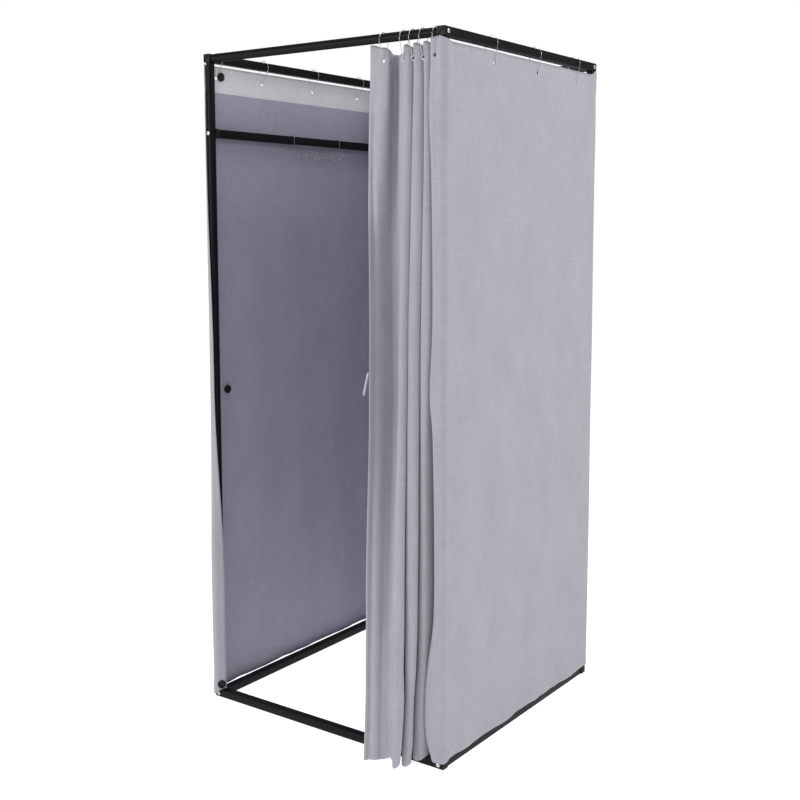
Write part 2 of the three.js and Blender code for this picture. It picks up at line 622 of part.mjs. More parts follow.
// The back wall hangs inside the side walls' returns.
const backRun = 2 * (lineX + LAYER_STEP);
const backPlaces = [0, ...columnPlaces(backRun), backRun];
let backWall = sheet(DROP_SHARES.map((share) => backPlaces.map((place) => [
  backRun / 2 - place, lineY + wallOut(share, Math.max(0, place - LAYER_STEP), 2 * lineX), mix(backTop, BACK_HEM, share)])));
['right', 'middle', 'left'].forEach((spot, i) => {
  const x = (1 - i) * BACK_RING_PITCH;
  const foot = at(x, lineY + HANG_OUT, backFoot);
  ring(`wall_ring_back_${spot}`, at(x, lineY, rodSeat), foot, Y);
  backWall = holed(backWall, eyeletBelow(foot), Y, EYELET);
});
place('back_wall', backWall, GREY_CLOTH);

// Curtain

// The plan of the curtain's folds: a run from the leading edge, legs along Y joined by round turns,
// and a last run beside the post. reaches are the turns' distances outside the rod's centre line.
function foldPlan(leadEdge, legs, reaches, end) {
  const spots = [];
  const arc = (x, y, radius, from, to, count) => spots.push(...arcRound(x, y, radius, radius, from, to, count));
  const front = reaches.map((reach) => -lineY - reach);
  const start = lineX - leadEdge;
  const legX = legs.map((leg) => lineX - leg);
  for (const share of [0, 1 / 6, 1 / 2, 3 / 4]) {
    spots.push([mix(start, legX[0] - TURN, share), mix(front[0], front[1], share)]);
  }
  arc(legX[0] - TURN, front[1] + TURN, TURN, -90, 0, 2);
  for (let i = 0; i + 1 < legX.length; i += 1) {
    const radius = (legX[i + 1] - legX[i]) / 2;
    const inward = i % 2 === 0 ? 1 : -1;
    const [, lastY] = spots[spots.length - 1];
    const turnY = front[i + 2] - inward * radius;
    spots.push([legX[i], (lastY + turnY) / 2]);
    arc(legX[i] + radius, turnY, radius, inward * 180, 0, BEND_STEPS);
  }
  const lastLeg = legX[legX.length - 1];
  const lastFront = front[front.length - 1];
  const [, lastY] = spots[spots.length - 1];
  spots.push([lastLeg, (lastY + lastFront + TURN) / 2]);
  arc(lastLeg + TURN, lastFront + TURN, TURN, 180, 270, 2);
  spots.push([lineX - end, lastFront]);
  return spots;
}

const topLegs = [FIRST_LEG];
for (const place of CURTAIN_RINGS) topLegs.push(place + FOLD_WIDTH / 2, place - FOLD_WIDTH / 2);
topLegs.push(LAST_LEG);
// Legs come in the order in which the cloth meets them, so the turns in between are half way.
const topReaches = [0, 0, -FOLD_DEPTH, 0, -FOLD_DEPTH, 0, -FOLD_DEPTH, 0, -FOLD_DEPTH, END_OUT];
const topPlan = foldPlan(LEAD_EDGE, topLegs, topReaches, CURTAIN_END);
const lowPlan = foldPlan(LOW_LEAD_EDGE, LOW_LEGS, LOW_REACHES, CURTAIN_END);
const headerShare = CURTAIN_HEADER / (curtainTop - CURTAIN_HEM);
const leadAt = (z) => {
  const share = ((curtainTop - z) / (curtainTop - CURTAIN_HEM) - headerShare) / (1 - headerShare);
  return at(mix(topPlan[0][0], lowPlan[0][0], share), mix(topPlan[0][1], lowPlan[0][1], share), z);
};
let curtain = sheet(CURTAIN_DROP_SHARES.map((share) => topPlan.map(([x, y], i) => {
  const spread = clamped((share - headerShare) / (1 - headerShare));
  const [lowX, lowY] = lowPlan[i];
  const high = curtainTop - CURTAIN_SAG * smooth((y + lineY) / FOLD_DEPTH);
  const low = mix(CURTAIN_HEM, HEM_OVER_BAR,
    smooth((lowY + lineY + TUBE / 2 + GAP + CLOTH + HEM_RISE) / HEM_RISE));
  return [mix(x, lowX, spread), mix(y, lowY, spread), mix(high, low, share)];
})));
['lead', 'second', 'third', 'fourth'].forEach((spot, i) => {
  const x = lineX - [LEAD_RING, ...CURTAIN_RINGS][i];
  const foot = at(x, -lineY, curtainFoot);
  ring(`curtain_ring_${spot}`, at(x, -lineY, rodSeat), foot, Y.clone().negate());
  curtain = holed(curtain, eyeletBelow(foot), Y, EYELET);
});

// One ring holds the right wall's return and the curtain's end together.
const returnDrop = Math.sqrt(RING_SPAN ** 2 - RETURN_RING_OUT ** 2);
const returnFoot = at(lineX - RETURN_RING, -lineY - RETURN_RING_OUT, rodSeat - returnDrop);
ring('wall_ring_return', at(lineX - RETURN_RING, -lineY, rodSeat), returnFoot, Y.clone().negate());
place('right_wall', holed(rightWall, eyeletBelow(returnFoot), Y, RETURN_EYELET), GREY_CLOTH);
place('front_curtain', holed(curtain, eyeletBelow(returnFoot), Y, RETURN_EYELET), GREY_CLOTH);

// Closing buttons: a dished disc, a shank through the cloth and a flange behind it.
function button(name, spot, outward) {
  const front = CLOTH / 2 + BUTTON_ROOM;
  const profile = [
    [0, -front - BUTTON_FLANGE_THICKNESS], [BUTTON_FLANGE / 2, -front - BUTTON_FLANGE_THICKNESS],
    [BUTTON_FLANGE / 2, -front], [BUTTON_SHANK / 2, -front], [BUTTON_SHANK / 2, front], [BUTTON / 2, front],
    [BUTTON / 2, front + BUTTON_HEIGHT - BUTTON_DISH], [BUTTON / 2 - BUTTON_DISH, front + BUTTON_HEIGHT],
    [BUTTON / 2 - BUTTON_RIM, front + BUTTON_HEIGHT], [0, front + BUTTON_HEIGHT - BUTTON_DISH]];
  const turned = new THREE.LatheGeometry(profile.map(([r, z]) => new THREE.Vector2(r, z)), ROUND_SIDES);
  turned.rotateX(Math.PI / 2);
  place(name, solid(along(turned, outward, spot)), BLACK_PLASTIC);
}

const cutForButton = (spot, outward) => {
  leftWall = holed(leftWall, spot, outward, BUTTON_SHANK + 2 * GAP);
};
function wallButton(name, behind, z, hem) {
  const share = (sideTop - z) / (sideTop - hem);
  const spot = at(-lineX - wallOut(share, behind, 2 * lineY), behind - lineY, z);
  cutForButton(spot, X);
  button(name, spot, X);
}
wallButton('closing_button_top', TOP_BUTTON, sideTop - TOP_BUTTON_DROP, LEFT_HEM);
wallButton('closing_button_middle', MIDDLE_BUTTON, MIDDLE_BUTTON_HEIGHT, LEFT_HEM);
const outOfFlap = at(1, -1, 0).normalize();
const lowSpot = at(flapPlan[1][0], flapPlan[1][1], LOW_BUTTON_HEIGHT);
cutForButton(lowSpot, outOfFlap);
button('closing_button_bottom', lowSpot, outOfFlap);
place('left_wall', leftWall, GREY_CLOTH);

// The loop of white tape on the curtain's leading edge goes over the middle button.
function stadium(length, width) {
  const outline = new THREE.Shape();
  const straight = (length - width) / 2;
  outline.absarc(0, straight, width / 2, 0, Math.PI);
  outline.absarc(0, -straight, width / 2, Math.PI, 2 * Math.PI);
  return outline;
}
const tape = stadium(LOOP_LENGTH, LOOP_DEPTH);
tape.holes.push(stadium(LOOP_LENGTH - 2 * LOOP_THICKNESS, LOOP_DEPTH - 2 * LOOP_THICKNESS));
const loop = new THREE.ExtrudeGeometry(tape, { depth: LOOP_TAPE, bevelEnabled: false, curveSegments: BEND_STEPS });
loop.translate(0, -LOOP_LENGTH / 2, -LOOP_TAPE - 2 * GAP);
loop.applyMatrix4(new THREE.Matrix4().makeBasis(Y, Z, X)).rotateY(THREE.MathUtils.degToRad(LOOP_LEAN_DEGREES));
const loopHang = leadAt(LOOP_TOP);
loop.translate(loopHang.x, loopHang.y, loopHang.z);
place('closing_loop', solid(loop), WHITE_TAPE);

// Hook rack: two hangers over the crossbar, a long wire and five hooks, welded into one piece.

const rackOut = TUBE / 2 + GAP + RACK_WIRE / 2;
const rackTop = crossbarTop + GAP + RACK_WIRE / 2;
const rackLow = crossbarTop - TUBE - RACK_DROP;
const rackInner = -lineX + rackOut;
const hangers = RACK_HANGERS.map((y) => wire([at(-lineX - rackOut, y, rackTop - RACK_OUTER_LEG),
  at(-lineX - rackOut, y, rackTop), at(rackInner, y, rackTop), at(rackInner, y, rackLow - GAP)], Y, RACK_WIRE));
const longWire = wire([at(rackInner, RACK_HANGERS[0] - RACK_WIRE, rackLow),
  at(rackInner, RACK_HANGERS[1] + RACK_WIRE, rackLow)], Z, RACK_WIRE);
const hooks = RACK_HOOKS.map((y) => {
  const low = rackLow - HOOK_DROP;
  return wire([at(rackInner, y, rackLow + GAP), at(rackInner, y, low + HOOK_BEND), at(rackInner + HOOK_BEND, y, low),
    at(rackInner + HOOK_REACH - HOOK_BEND, y, low + HOOK_RISE / 2), at(rackInner + HOOK_REACH, y, low + HOOK_RISE)],
  Y, RACK_WIRE);
});
place('hook_rack', join(longWire, ...hangers, ...hooks), SILVER_STEEL);

// The whole cabin is centred over the origin.
const bounds = new THREE.Box3().setFromObject(cabin);
const centre = bounds.getCenter(at(0, 0, 0));
cabin.position.set(-centre.x, -centre.y, -bounds.min.z);
const part = new THREE.Group();
part.add(cabin);

export default part;
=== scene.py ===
"""The looks of a portable fitting room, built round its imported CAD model.

A black steel tube frame carries three grey cloth walls and a gathered front curtain on wire rings.
Everything is in metres, in the frame of the CAD model.
"""

import math

import bpy
from bpy.props import FloatProperty, FloatVectorProperty, IntProperty, PointerProperty
from bpy.types import Operator, Panel, PropertyGroup
from mathutils import Matrix, Vector, noise


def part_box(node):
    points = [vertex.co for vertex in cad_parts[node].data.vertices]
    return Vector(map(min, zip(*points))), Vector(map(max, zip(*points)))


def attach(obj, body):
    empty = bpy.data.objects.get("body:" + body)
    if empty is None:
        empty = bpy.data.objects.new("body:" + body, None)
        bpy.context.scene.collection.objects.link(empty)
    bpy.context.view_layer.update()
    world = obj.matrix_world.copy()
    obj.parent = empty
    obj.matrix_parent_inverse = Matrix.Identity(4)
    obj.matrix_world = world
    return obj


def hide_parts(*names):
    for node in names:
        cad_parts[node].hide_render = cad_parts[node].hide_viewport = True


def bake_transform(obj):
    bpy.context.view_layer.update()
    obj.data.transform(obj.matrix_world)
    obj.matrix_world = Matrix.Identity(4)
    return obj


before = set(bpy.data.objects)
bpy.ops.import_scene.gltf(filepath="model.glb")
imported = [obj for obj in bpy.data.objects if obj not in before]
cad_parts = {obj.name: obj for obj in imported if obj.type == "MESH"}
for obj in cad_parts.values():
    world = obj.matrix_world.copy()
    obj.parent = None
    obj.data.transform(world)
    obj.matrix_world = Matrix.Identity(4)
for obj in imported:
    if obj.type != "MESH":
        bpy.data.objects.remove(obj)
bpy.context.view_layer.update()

bl_info = {
    "name": "Portable fitting room",
    "version": (1, 0, 0),
    "blender": (4, 5, 0),
    "location": "View3D > Sidebar > Fitting room",
    "description": "Builds the visible pieces of a portable fitting room round its CAD model",
    "category": "Object",
}

# Places read from the CAD model


def middle(node):
    low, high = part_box(node)
    return Vector([(a + b) / 2 for a, b in zip(low, high)])


def span(node):
    low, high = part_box(node)
    return Vector([b - a for a, b in zip(low, high)])


FRONT_LEFT = middle("post_front_left")
BACK_RIGHT = middle("post_back_right")
LINE_X = BACK_RIGHT.x  # the posts' centre lines stand this far left and right of the middle
FRONT_Y = FRONT_LEFT.y
BACK_Y = BACK_RIGHT.y
RUN_Y = BACK_Y - FRONT_Y
RAIL_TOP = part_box("top_rail_left")[1][2]
TUBE = span("bottom_bar_left").x
RAIL = span("rail_plug_front_left").z  # side of the side rails and of the crossbar
POST = span("post_front_left").x
ENDS = [(end, side) for side in ("left", "right") for end in ("front", "back")]


# Sizes and colours that a user would change


class FrameSettings(PropertyGroup):
    """Steel tubes, plugs, screws and buttons."""

    corner: FloatProperty(name="Tube corner", description="Outer corner radius of the square tubes",
                          default=0.0024, subtype="DISTANCE", unit="LENGTH")
    wall: FloatProperty(name="Tube wall", description="Thickness of the tube walls", default=0.0012,
                        subtype="DISTANCE", unit="LENGTH")
    paint: FloatVectorProperty(name="Paint", description="Colour of the powder coat", subtype="COLOR",
                               default=(0.0042, 0.0042, 0.005))
    plastic: FloatVectorProperty(name="Plastic", description="Colour of the plugs, saddles and buttons",
                                 subtype="COLOR", default=(0.006, 0.006, 0.0065))
    plating: FloatVectorProperty(name="Plating", description="Colour of the screws", subtype="COLOR",
                                 default=(0.72, 0.72, 0.73))


class RingSettings(PropertyGroup):
    """Wire rings, eyelets and the hook rack."""

    wire: FloatProperty(name="Ring wire", description="Diameter of the rings' wire", default=0.0018,
                        subtype="DISTANCE", unit="LENGTH")
    loop: FloatProperty(name="Loop radius", description="Radius of the large end of a ring", default=0.02094,
                        subtype="DISTANCE", unit="LENGTH")
    foot: FloatProperty(name="Foot radius", description="Radius of the small end of a ring", default=0.005,
                        subtype="DISTANCE", unit="LENGTH")
    span: FloatProperty(name="Span", description="Distance between the centres of a ring's two ends",
                        default=0.0446, subtype="DISTANCE", unit="LENGTH")
    steps: IntProperty(name="Steps", description="Points round a ring's large end", default=28)
    hole: FloatProperty(name="Eyelet hole", description="Radius of the hole in the cloth", default=0.005,
                        subtype="DISTANCE", unit="LENGTH")
    rim: FloatProperty(name="Eyelet rim", description="Thickness of an eyelet's rolled rim", default=0.0021,
                       subtype="DISTANCE", unit="LENGTH")
    rack_wire: FloatProperty(name="Rack wire", description="Diameter of the hook rack's wire", default=0.0024,
                             subtype="DISTANCE", unit="LENGTH")
    chrome: FloatVectorProperty(name="Chrome", description="Colour of the bright wire", subtype="COLOR",
                                default=(0.56, 0.56, 0.58))


class ClothSettings(PropertyGroup):
    """Walls and curtain."""

    thickness: FloatProperty(name="Hem thickness", description="Thickness of the cloth at its hems",
                             default=0.0018, subtype="DISTANCE", unit="LENGTH")
    step: FloatProperty(name="Mesh step", description="Distance between the points of the cloth mesh",
                        default=0.008, subtype="DISTANCE", unit="LENGTH")
    header: FloatProperty(name="Header", description="Height of the folded band along the top",
                          default=0.077, subtype="DISTANCE", unit="LENGTH")
    hem: FloatProperty(name="Hem", description="Height of the hem along the lower edge", default=0.02,
                       subtype="DISTANCE", unit="LENGTH")
    side_hem: FloatProperty(name="Side hem", description="Width of the hems along the sides", default=0.016,
                            subtype="DISTANCE", unit="LENGTH")
    outside: FloatVectorProperty(name="Outside", description="Colour of the cloth's outer face",
                                 subtype="COLOR", default=(0.405, 0.40, 0.445))
    # The inner face's darker, bluer colour is painted shade: it stands in for the shade inside the cabin.
    inside: FloatVectorProperty(name="Inside", description="Colour of the cloth's inner face",
                                subtype="COLOR", default=(0.36, 0.352, 0.438))
    # The header band is real folded cloth, but its pale colour is painted light: it stands in for light shining through
    # the thin cloth from above.
    band_with_painted_light: FloatVectorProperty(name="Header band", description="Colour of the band folded inside along the top",
                              subtype="COLOR", default=(0.66, 0.655, 0.69))
    tape: FloatVectorProperty(name="Tape", description="Colour of the closing loop's tape", subtype="COLOR",
                              default=(0.5, 0.5, 0.54))


class StageSettings(PropertyGroup):
    """Floor, light and camera."""

    camera: FloatVectorProperty(name="Camera", description="Where the camera stands, from the frame's middle",
                                default=(2.080, -2.927, 1.493), subtype="XYZ", unit="LENGTH")
    turn: FloatProperty(name="Turn", description="How far the camera turns to the left", subtype="ANGLE",
                        default=math.radians(35.67))
    tilt: FloatProperty(name="Tilt", description="How far the camera looks down", subtype="ANGLE",
                        default=math.radians(6.75))
    lens: FloatProperty(name="Lens", description="Focal length in millimetres on a 36 mm sensor", default=51.3)
    shift: FloatProperty(name="Shift", description="Upward shift of the lens", default=-0.05)
    floor: FloatVectorProperty(name="Floor", description="Colour of the floor", subtype="COLOR",
                               default=(0.85, 0.85, 0.85))
    floor_glow: FloatProperty(name="Floor glow", description="How far the floor is lit through, as on a light table",
                              default=0.64)
    floor_lift: FloatProperty(name="Floor lift", description="How much whiter the floor looks than it lights the cloth",
                              default=0.2)
    sky: FloatProperty(name="Sky", description="Brightness of the soft light all round", default=0.25)
    side: FloatProperty(name="Side", description="Power of the soft light on the right, in watts", default=88)
    front: FloatProperty(name="Front", description="Power of the soft light at the front left, in watts", default=98)
    top: FloatProperty(name="Top", description="Power of the soft light overhead, in watts", default=65)


# Shares and small sums


def mix(a, b, share):
    return a + (b - a) * share


def smooth(share):
    share = min(1.0, max(0.0, share))
    return share * share * (3 - 2 * share)


def between(start, end, value):
    return smooth((value - start) / (end - start))


def read(shares, values, share):
    """A value read from a table at rising shares, along a smooth line through its values."""
    last = len(shares) - 1
    place = next((i for i, mark in enumerate(shares) if mark >= share), last)
    place = max(1, place)

    def slope(i):
        low, high = max(0, i - 1), min(last, i + 1)
        return (values[high] - values[low]) / (shares[high] - shares[low])

    gap = shares[place] - shares[place - 1]
    t = min(1.0, max(0.0, (share - shares[place - 1]) / gap))
    return (values[place - 1] * (2 * t ** 3 - 3 * t ** 2 + 1) + slope(place - 1) * gap * (t ** 3 - 2 * t ** 2 + t)
            + values[place] * (3 * t ** 2 - 2 * t ** 3) + slope(place) * gap * (t ** 3 - t ** 2))


# Shader groups


def node_group(name, inputs, outputs):
    """An empty shader group with named sockets."""
    group = bpy.data.node_groups.new(name, "ShaderNodeTree")
    for title, kind, value in inputs:
        socket = group.interface.new_socket(name=title, in_out="INPUT", socket_type=kind)
        if value is not None:
            socket.default_value = value
    for title, kind in outputs:
        group.interface.new_socket(name=title, in_out="OUTPUT", socket_type=kind)
    return group, group.nodes.new("NodeGroupInput"), group.nodes.new("NodeGroupOutput")


def math_node(tree, operation, first, second=None, clamp=False):
    node = tree.nodes.new("ShaderNodeMath")
    node.operation = operation
    node.use_clamp = clamp
    for socket, value in zip(node.inputs, (first, second)):
        if value is None:
            continue
        if isinstance(value, bpy.types.NodeSocket):
            tree.links.new(value, socket)
        else:
            socket.default_value = value
    return node.outputs[0]


def noise_node(tree, vector, scale, detail, roughness=0.5):
    node = tree.nodes.new("ShaderNodeTexNoise")
    node.inputs["Scale"].default_value = scale
    node.inputs["Detail"].default_value = detail
    node.inputs["Roughness"].default_value = roughness
    tree.links.new(vector, node.inputs["Vector"])
    return node.outputs["Fac"]


def scaled(tree, vector, scale):
    node = tree.nodes.new("ShaderNodeMapping")
    node.inputs["Scale"].default_value = scale
    tree.links.new(vector, node.inputs["Vector"])
    return node.outputs["Vector"]


def colour_mix(tree, share, first, second, blend="MIX"):
    node = tree.nodes.new("ShaderNodeMix")
    node.data_type = "RGBA"
    node.blend_type = blend
    for socket, value in zip((node.inputs[0], node.inputs[6], node.inputs[7]), (share, first, second)):
        if isinstance(value, bpy.types.NodeSocket):
            tree.links.new(value, socket)
        elif isinstance(value, float):
            socket.default_value = value
        else:
            socket.default_value = (*value[:3], 1.0)
    return node.outputs[2]


def weave_group():
    """Plain woven cloth: threads both ways with slubs, on a UV map in metres."""
    group, start, end = node_group(
        "Plain weave",
        [("UV", "NodeSocketVector", None), ("Thread", "NodeSocketFloat", 0.0011),
         ("Slub", "NodeSocketFloat", 0.8)],
        [("Tone", "NodeSocketFloat"), ("Height", "NodeSocketFloat"), ("Wrinkle", "NodeSocketFloat")])
    tree = group
    axes = tree.nodes.new("ShaderNodeSeparateXYZ")
    tree.links.new(start.outputs["UV"], axes.inputs[0])
    turn = math_node(tree, "DIVIDE", math.pi, start.outputs["Thread"])
    across = math_node(tree, "SINE", math_node(tree, "MULTIPLY", axes.outputs[0], turn))
    along = math_node(tree, "SINE", math_node(tree, "MULTIPLY", axes.outputs[1], turn))
    threads = math_node(tree, "MULTIPLY", across, along)
    streaks = noise_node(tree, scaled(tree, start.outputs["UV"], (110, 9, 1)), 1.0, 3.0)
    bars = noise_node(tree, scaled(tree, start.outputs["UV"], (12, 130, 1)), 1.0, 2.0)
    warp = noise_node(tree, scaled(tree, start.outputs["UV"], (420, 24, 1)), 1.0, 2.0)
    weft = noise_node(tree, scaled(tree, start.outputs["UV"], (30, 420, 1)), 1.0, 2.0)
    cloudy = noise_node(tree, scaled(tree, start.outputs["UV"], (9, 5, 1)), 1.0, 3.0)
    slubs = math_node(tree, "SUBTRACT", math_node(tree, "ADD", warp, weft), 1.0)
    slubs = math_node(tree, "MULTIPLY", slubs, start.outputs["Slub"])
    bands = math_node(tree, "SUBTRACT", math_node(tree, "ADD", streaks, bars), 1.0)
    patches = math_node(tree, "ADD", math_node(tree, "SUBTRACT", cloudy, 0.5), math_node(tree, "MULTIPLY", bands, 0.75))
    tone = math_node(tree, "ADD", slubs, math_node(tree, "MULTIPLY", patches, 0.75))
    tree.links.new(tone, end.inputs["Tone"])
    height = math_node(tree, "ADD", math_node(tree, "MULTIPLY", threads, 0.25), slubs)
    tree.links.new(height, end.inputs["Height"])
    crumple = noise_node(tree, scaled(tree, start.outputs["UV"], (16, 11, 1)), 1.0, 4.0, 0.55)
    tree.links.new(crumple, end.inputs["Wrinkle"])
    return group


def seam_group():
    """Sewn lines: dashes of thread in a shallow groove, at a distance from an edge."""
    group, start, end = node_group(
        "Sewn line",
        [("Distance", "NodeSocketFloat", 0.0), ("Along", "NodeSocketFloat", 0.0),
         ("Line", "NodeSocketFloat", 0.02), ("Width", "NodeSocketFloat", 0.0011),
         ("Stitch", "NodeSocketFloat", 0.0032)],
        [("Groove", "NodeSocketFloat"), ("Thread", "NodeSocketFloat")])
    tree = group
    off = math_node(tree, "ABSOLUTE", math_node(tree, "SUBTRACT", start.outputs["Distance"], start.outputs["Line"]))
    groove = math_node(tree, "SUBTRACT", 1.0, math_node(tree, "DIVIDE", off, start.outputs["Width"]), clamp=True)
    dash = math_node(tree, "SINE", math_node(tree, "DIVIDE", math_node(tree, "MULTIPLY", start.outputs["Along"],
                                                                    2 * math.pi), start.outputs["Stitch"]))
    dash = math_node(tree, "GREATER_THAN", dash, -0.35)
    tree.links.new(groove, end.inputs["Groove"])
    tree.links.new(math_node(tree, "MULTIPLY", groove, dash), end.inputs["Thread"])
    return group


def grain_group():
    """Fine unevenness of paint or moulded plastic, with worn, dusty and rubbed patches."""
    group, start, end = node_group(
        "Fine grain",
        [("Vector", "NodeSocketVector", None), ("Grain", "NodeSocketFloat", 900.0),
         ("Patches", "NodeSocketFloat", 14.0)],
        [("Height", "NodeSocketFloat"), ("Patch", "NodeSocketFloat")])
    tree = group
    fine = tree.nodes.new("ShaderNodeTexNoise")
    tree.links.new(start.outputs["Vector"], fine.inputs["Vector"])
    tree.links.new(start.outputs["Grain"], fine.inputs["Scale"])
    fine.inputs["Detail"].default_value = 2.0
    broad = tree.nodes.new("ShaderNodeTexNoise")
    tree.links.new(start.outputs["Vector"], broad.inputs["Vector"])
    tree.links.new(start.outputs["Patches"], broad.inputs["Scale"])
    broad.inputs["Detail"].default_value = 4.0
    tree.links.new(fine.outputs["Fac"], end.inputs["Height"])
    tree.links.new(broad.outputs["Fac"], end.inputs["Patch"])
    return group


GROUP_MAKERS = {"Plain weave": weave_group, "Sewn line": seam_group, "Fine grain": grain_group}


def use_group(tree, name):
    node = tree.nodes.new("ShaderNodeGroup")
    node.node_tree = bpy.data.node_groups.get(name) or GROUP_MAKERS[name]()
    return node


def new_material(name, colour, roughness, metallic=0.0):
    material = bpy.data.materials.new(name)
    material.use_nodes = True
    shader = material.node_tree.nodes["Principled BSDF"]
    shader.inputs["Base Color"].default_value = (*colour, 1.0)
    shader.inputs["Roughness"].default_value = roughness
    shader.inputs["Metallic"].default_value = metallic
    return material, material.node_tree, shader


def bump(tree, shader, height, strength, distance):
    node = tree.nodes.new("ShaderNodeBump")
    node.inputs["Strength"].default_value = strength
    node.inputs["Distance"].default_value = distance
    tree.links.new(height, node.inputs["Height"])
    tree.links.new(node.outputs["Normal"], shader.inputs["Normal"])
    return node


def hard_material(name, colour, roughness, metallic, grain, patches, depth, uneven):
    """Paint, plastic or metal with a fine grain and uneven gloss, on Object coordinates."""
    existing = bpy.data.materials.get(name)
    if existing:
        return existing
    material, tree, shader = new_material(name, colour, roughness, metallic)
    place = tree.nodes.new("ShaderNodeTexCoord")
    group = use_group(tree, "Fine grain")
    group.inputs["Grain"].default_value = grain
    group.inputs["Patches"].default_value = patches
    tree.links.new(place.outputs["Object"], group.inputs["Vector"])
    light = [min(1.0, c * (1 + uneven)) for c in colour]
    dark = [c * (1 - uneven) for c in colour]
    tree.links.new(colour_mix(tree, group.outputs["Patch"], dark, light), shader.inputs["Base Color"])
    gloss = math_node(tree, "ADD", roughness - 0.06, math_node(tree, "MULTIPLY", group.outputs["Patch"], 0.12))
    tree.links.new(gloss, shader.inputs["Roughness"])
    bump(tree, shader, group.outputs["Height"], 0.25, depth)
    return material


def paint_material(context):
    settings = context.scene.room_frame
    material = hard_material("Black powder coat", settings.paint, 0.42, 0.0, 700.0, 9.0, 0.0003, 0.3)
    material.node_tree.nodes["Principled BSDF"].inputs["Specular IOR Level"].default_value = 0.13
    return material


def plastic_material(context):
    material = hard_material("Black moulded plastic", context.scene.room_frame.plastic, 0.5, 0.0, 500.0, 20.0,
                             0.0002, 0.25)
    material.node_tree.nodes["Principled BSDF"].inputs["Specular IOR Level"].default_value = 0.25
    return material


def plating_material(context):
    return hard_material("Zinc plated screw", context.scene.room_frame.plating, 0.3, 1.0, 1200.0, 60.0, 0.0001, 0.12)


def chrome_material(context):
    return hard_material("Bright wire", context.scene.room_rings.chrome, 0.2, 1.0, 900.0, 40.0, 0.00005, 0.1)


def eyelet_material(context):
    return hard_material("Pale nickel eyelet", (0.62, 0.62, 0.63), 0.34, 0.85, 700.0, 50.0, 0.00005, 0.06)


def cloth_material(name, colour, width, height, settings):
    """Plain grey cloth with its sewn lines, on the piece's UV map in metres."""
    material, tree, shader = new_material(name, colour, 0.92)
    shader.inputs["Sheen Weight"].default_value = 0.05
    shader.inputs["Sheen Roughness"].default_value = 0.6
    shader.inputs["Specular IOR Level"].default_value = 0.25
    uv = tree.nodes.new("ShaderNodeUVMap")
    uv.uv_map = "UVMap"
    weave = use_group(tree, "Plain weave")
    tree.links.new(uv.outputs["UV"], weave.inputs["UV"])
    axes = tree.nodes.new("ShaderNodeSeparateXYZ")
    tree.links.new(uv.outputs["UV"], axes.inputs[0])
    from_left, from_bottom = axes.outputs[0], axes.outputs[1]
    from_right = math_node(tree, "SUBTRACT", width, from_left)
    from_top = math_node(tree, "SUBTRACT", height, from_bottom)
    lines = [(from_top, from_left, settings.header), (from_bottom, from_left, settings.hem),
             (from_left, from_bottom, settings.side_hem), (from_right, from_bottom, settings.side_hem)]
    groove = thread = None
    for distance, run, line in lines:
        seam = use_group(tree, "Sewn line")
        seam.inputs["Line"].default_value = line
        tree.links.new(distance, seam.inputs["Distance"])
        tree.links.new(run, seam.inputs["Along"])
        groove = seam.outputs["Groove"] if groove is None else math_node(tree, "MAXIMUM", groove, seam.outputs["Groove"])
        thread = seam.outputs["Thread"] if thread is None else math_node(tree, "MAXIMUM", thread, seam.outputs["Thread"])
    dark = [c * 0.86 for c in colour]
    light = [c * 1.12 for c in colour]
    toned = colour_mix(tree, math_node(tree, "ADD", weave.outputs["Tone"], 0.5, clamp=True), dark, light)
    sewn = colour_mix(tree, math_node(tree, "MULTIPLY", thread, 0.35), toned, [c * 0.72 for c in colour])
    tree.links.new(sewn, shader.inputs["Base Color"])
    height_sum = math_node(tree, "SUBTRACT", weave.outputs["Height"], math_node(tree, "MULTIPLY", groove, 1.6))
    fine = bump(tree, shader, height_sum, 0.35, 0.0004)
    broad = tree.nodes.new("ShaderNodeBump")
    broad.inputs["Strength"].default_value = 0.4
    broad.inputs["Distance"].default_value = 0.006
    tree.links.new(weave.outputs["Wrinkle"], broad.inputs["Height"])
    tree.links.new(broad.outputs["Normal"], fine.inputs["Normal"])
    return material


# Modelling


def active():
    return bpy.context.view_layer.objects.active


def deselect():
    if bpy.context.mode != "OBJECT":
        bpy.ops.object.mode_set(mode="OBJECT")
    bpy.ops.object.select_all(action="DESELECT")


def pick(obj):
    deselect()
    obj.select_set(True)
    bpy.context.view_layer.objects.active = obj


def settle(obj):
    """Puts a piece's place into its mesh, so that its object sits at the origin."""
    pick(obj)
    bpy.ops.object.transform_apply(location=True, rotation=True, scale=True)


def apply_modifier(obj, kind, **values):
    pick(obj)
    modifier = obj.modifiers.new(kind.title(), kind)
    for key, value in values.items():
        setattr(modifier, key, value)
    bpy.ops.object.modifier_apply(modifier=modifier.name)


def smooth_piece(obj, degrees=35):
    pick(obj)
    bpy.ops.object.shade_smooth_by_angle(angle=math.radians(degrees))


def place_piece(obj, name, materials, body, nodes=()):
    obj.name = name
    obj.data.name = name
    if list(obj.data.materials) != list(materials):
        obj.data.materials.clear()
        for material in materials:
            obj.data.materials.append(material)
    if body:
        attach(obj, body)
    if nodes:
        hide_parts(*nodes)
    return obj


def select_faces(obj, wanted):
    """In edit mode, selects the faces whose centre and normal pass a test."""
    bpy.ops.mesh.select_all(action="DESELECT")
    bpy.ops.object.mode_set(mode="OBJECT")
    for face in obj.data.polygons:
        face.select = bool(wanted(face.center, face.normal))
    bpy.ops.object.mode_set(mode="EDIT")
    bpy.ops.mesh.select_mode(type="FACE")


def joined(pieces):
    deselect()
    for piece in pieces:
        piece.select_set(True)
    bpy.context.view_layer.objects.active = pieces[0]
    if len(pieces) > 1:
        bpy.ops.object.join()
    return active()


def cut_with(obj, cutters):
    """Cuts pieces out of another, and deletes them."""
    cutter = joined(cutters)
    apply_modifier(obj, "BOOLEAN", operation="DIFFERENCE", object=cutter, solver="EXACT")
    pick(cutter)
    bpy.ops.object.delete()


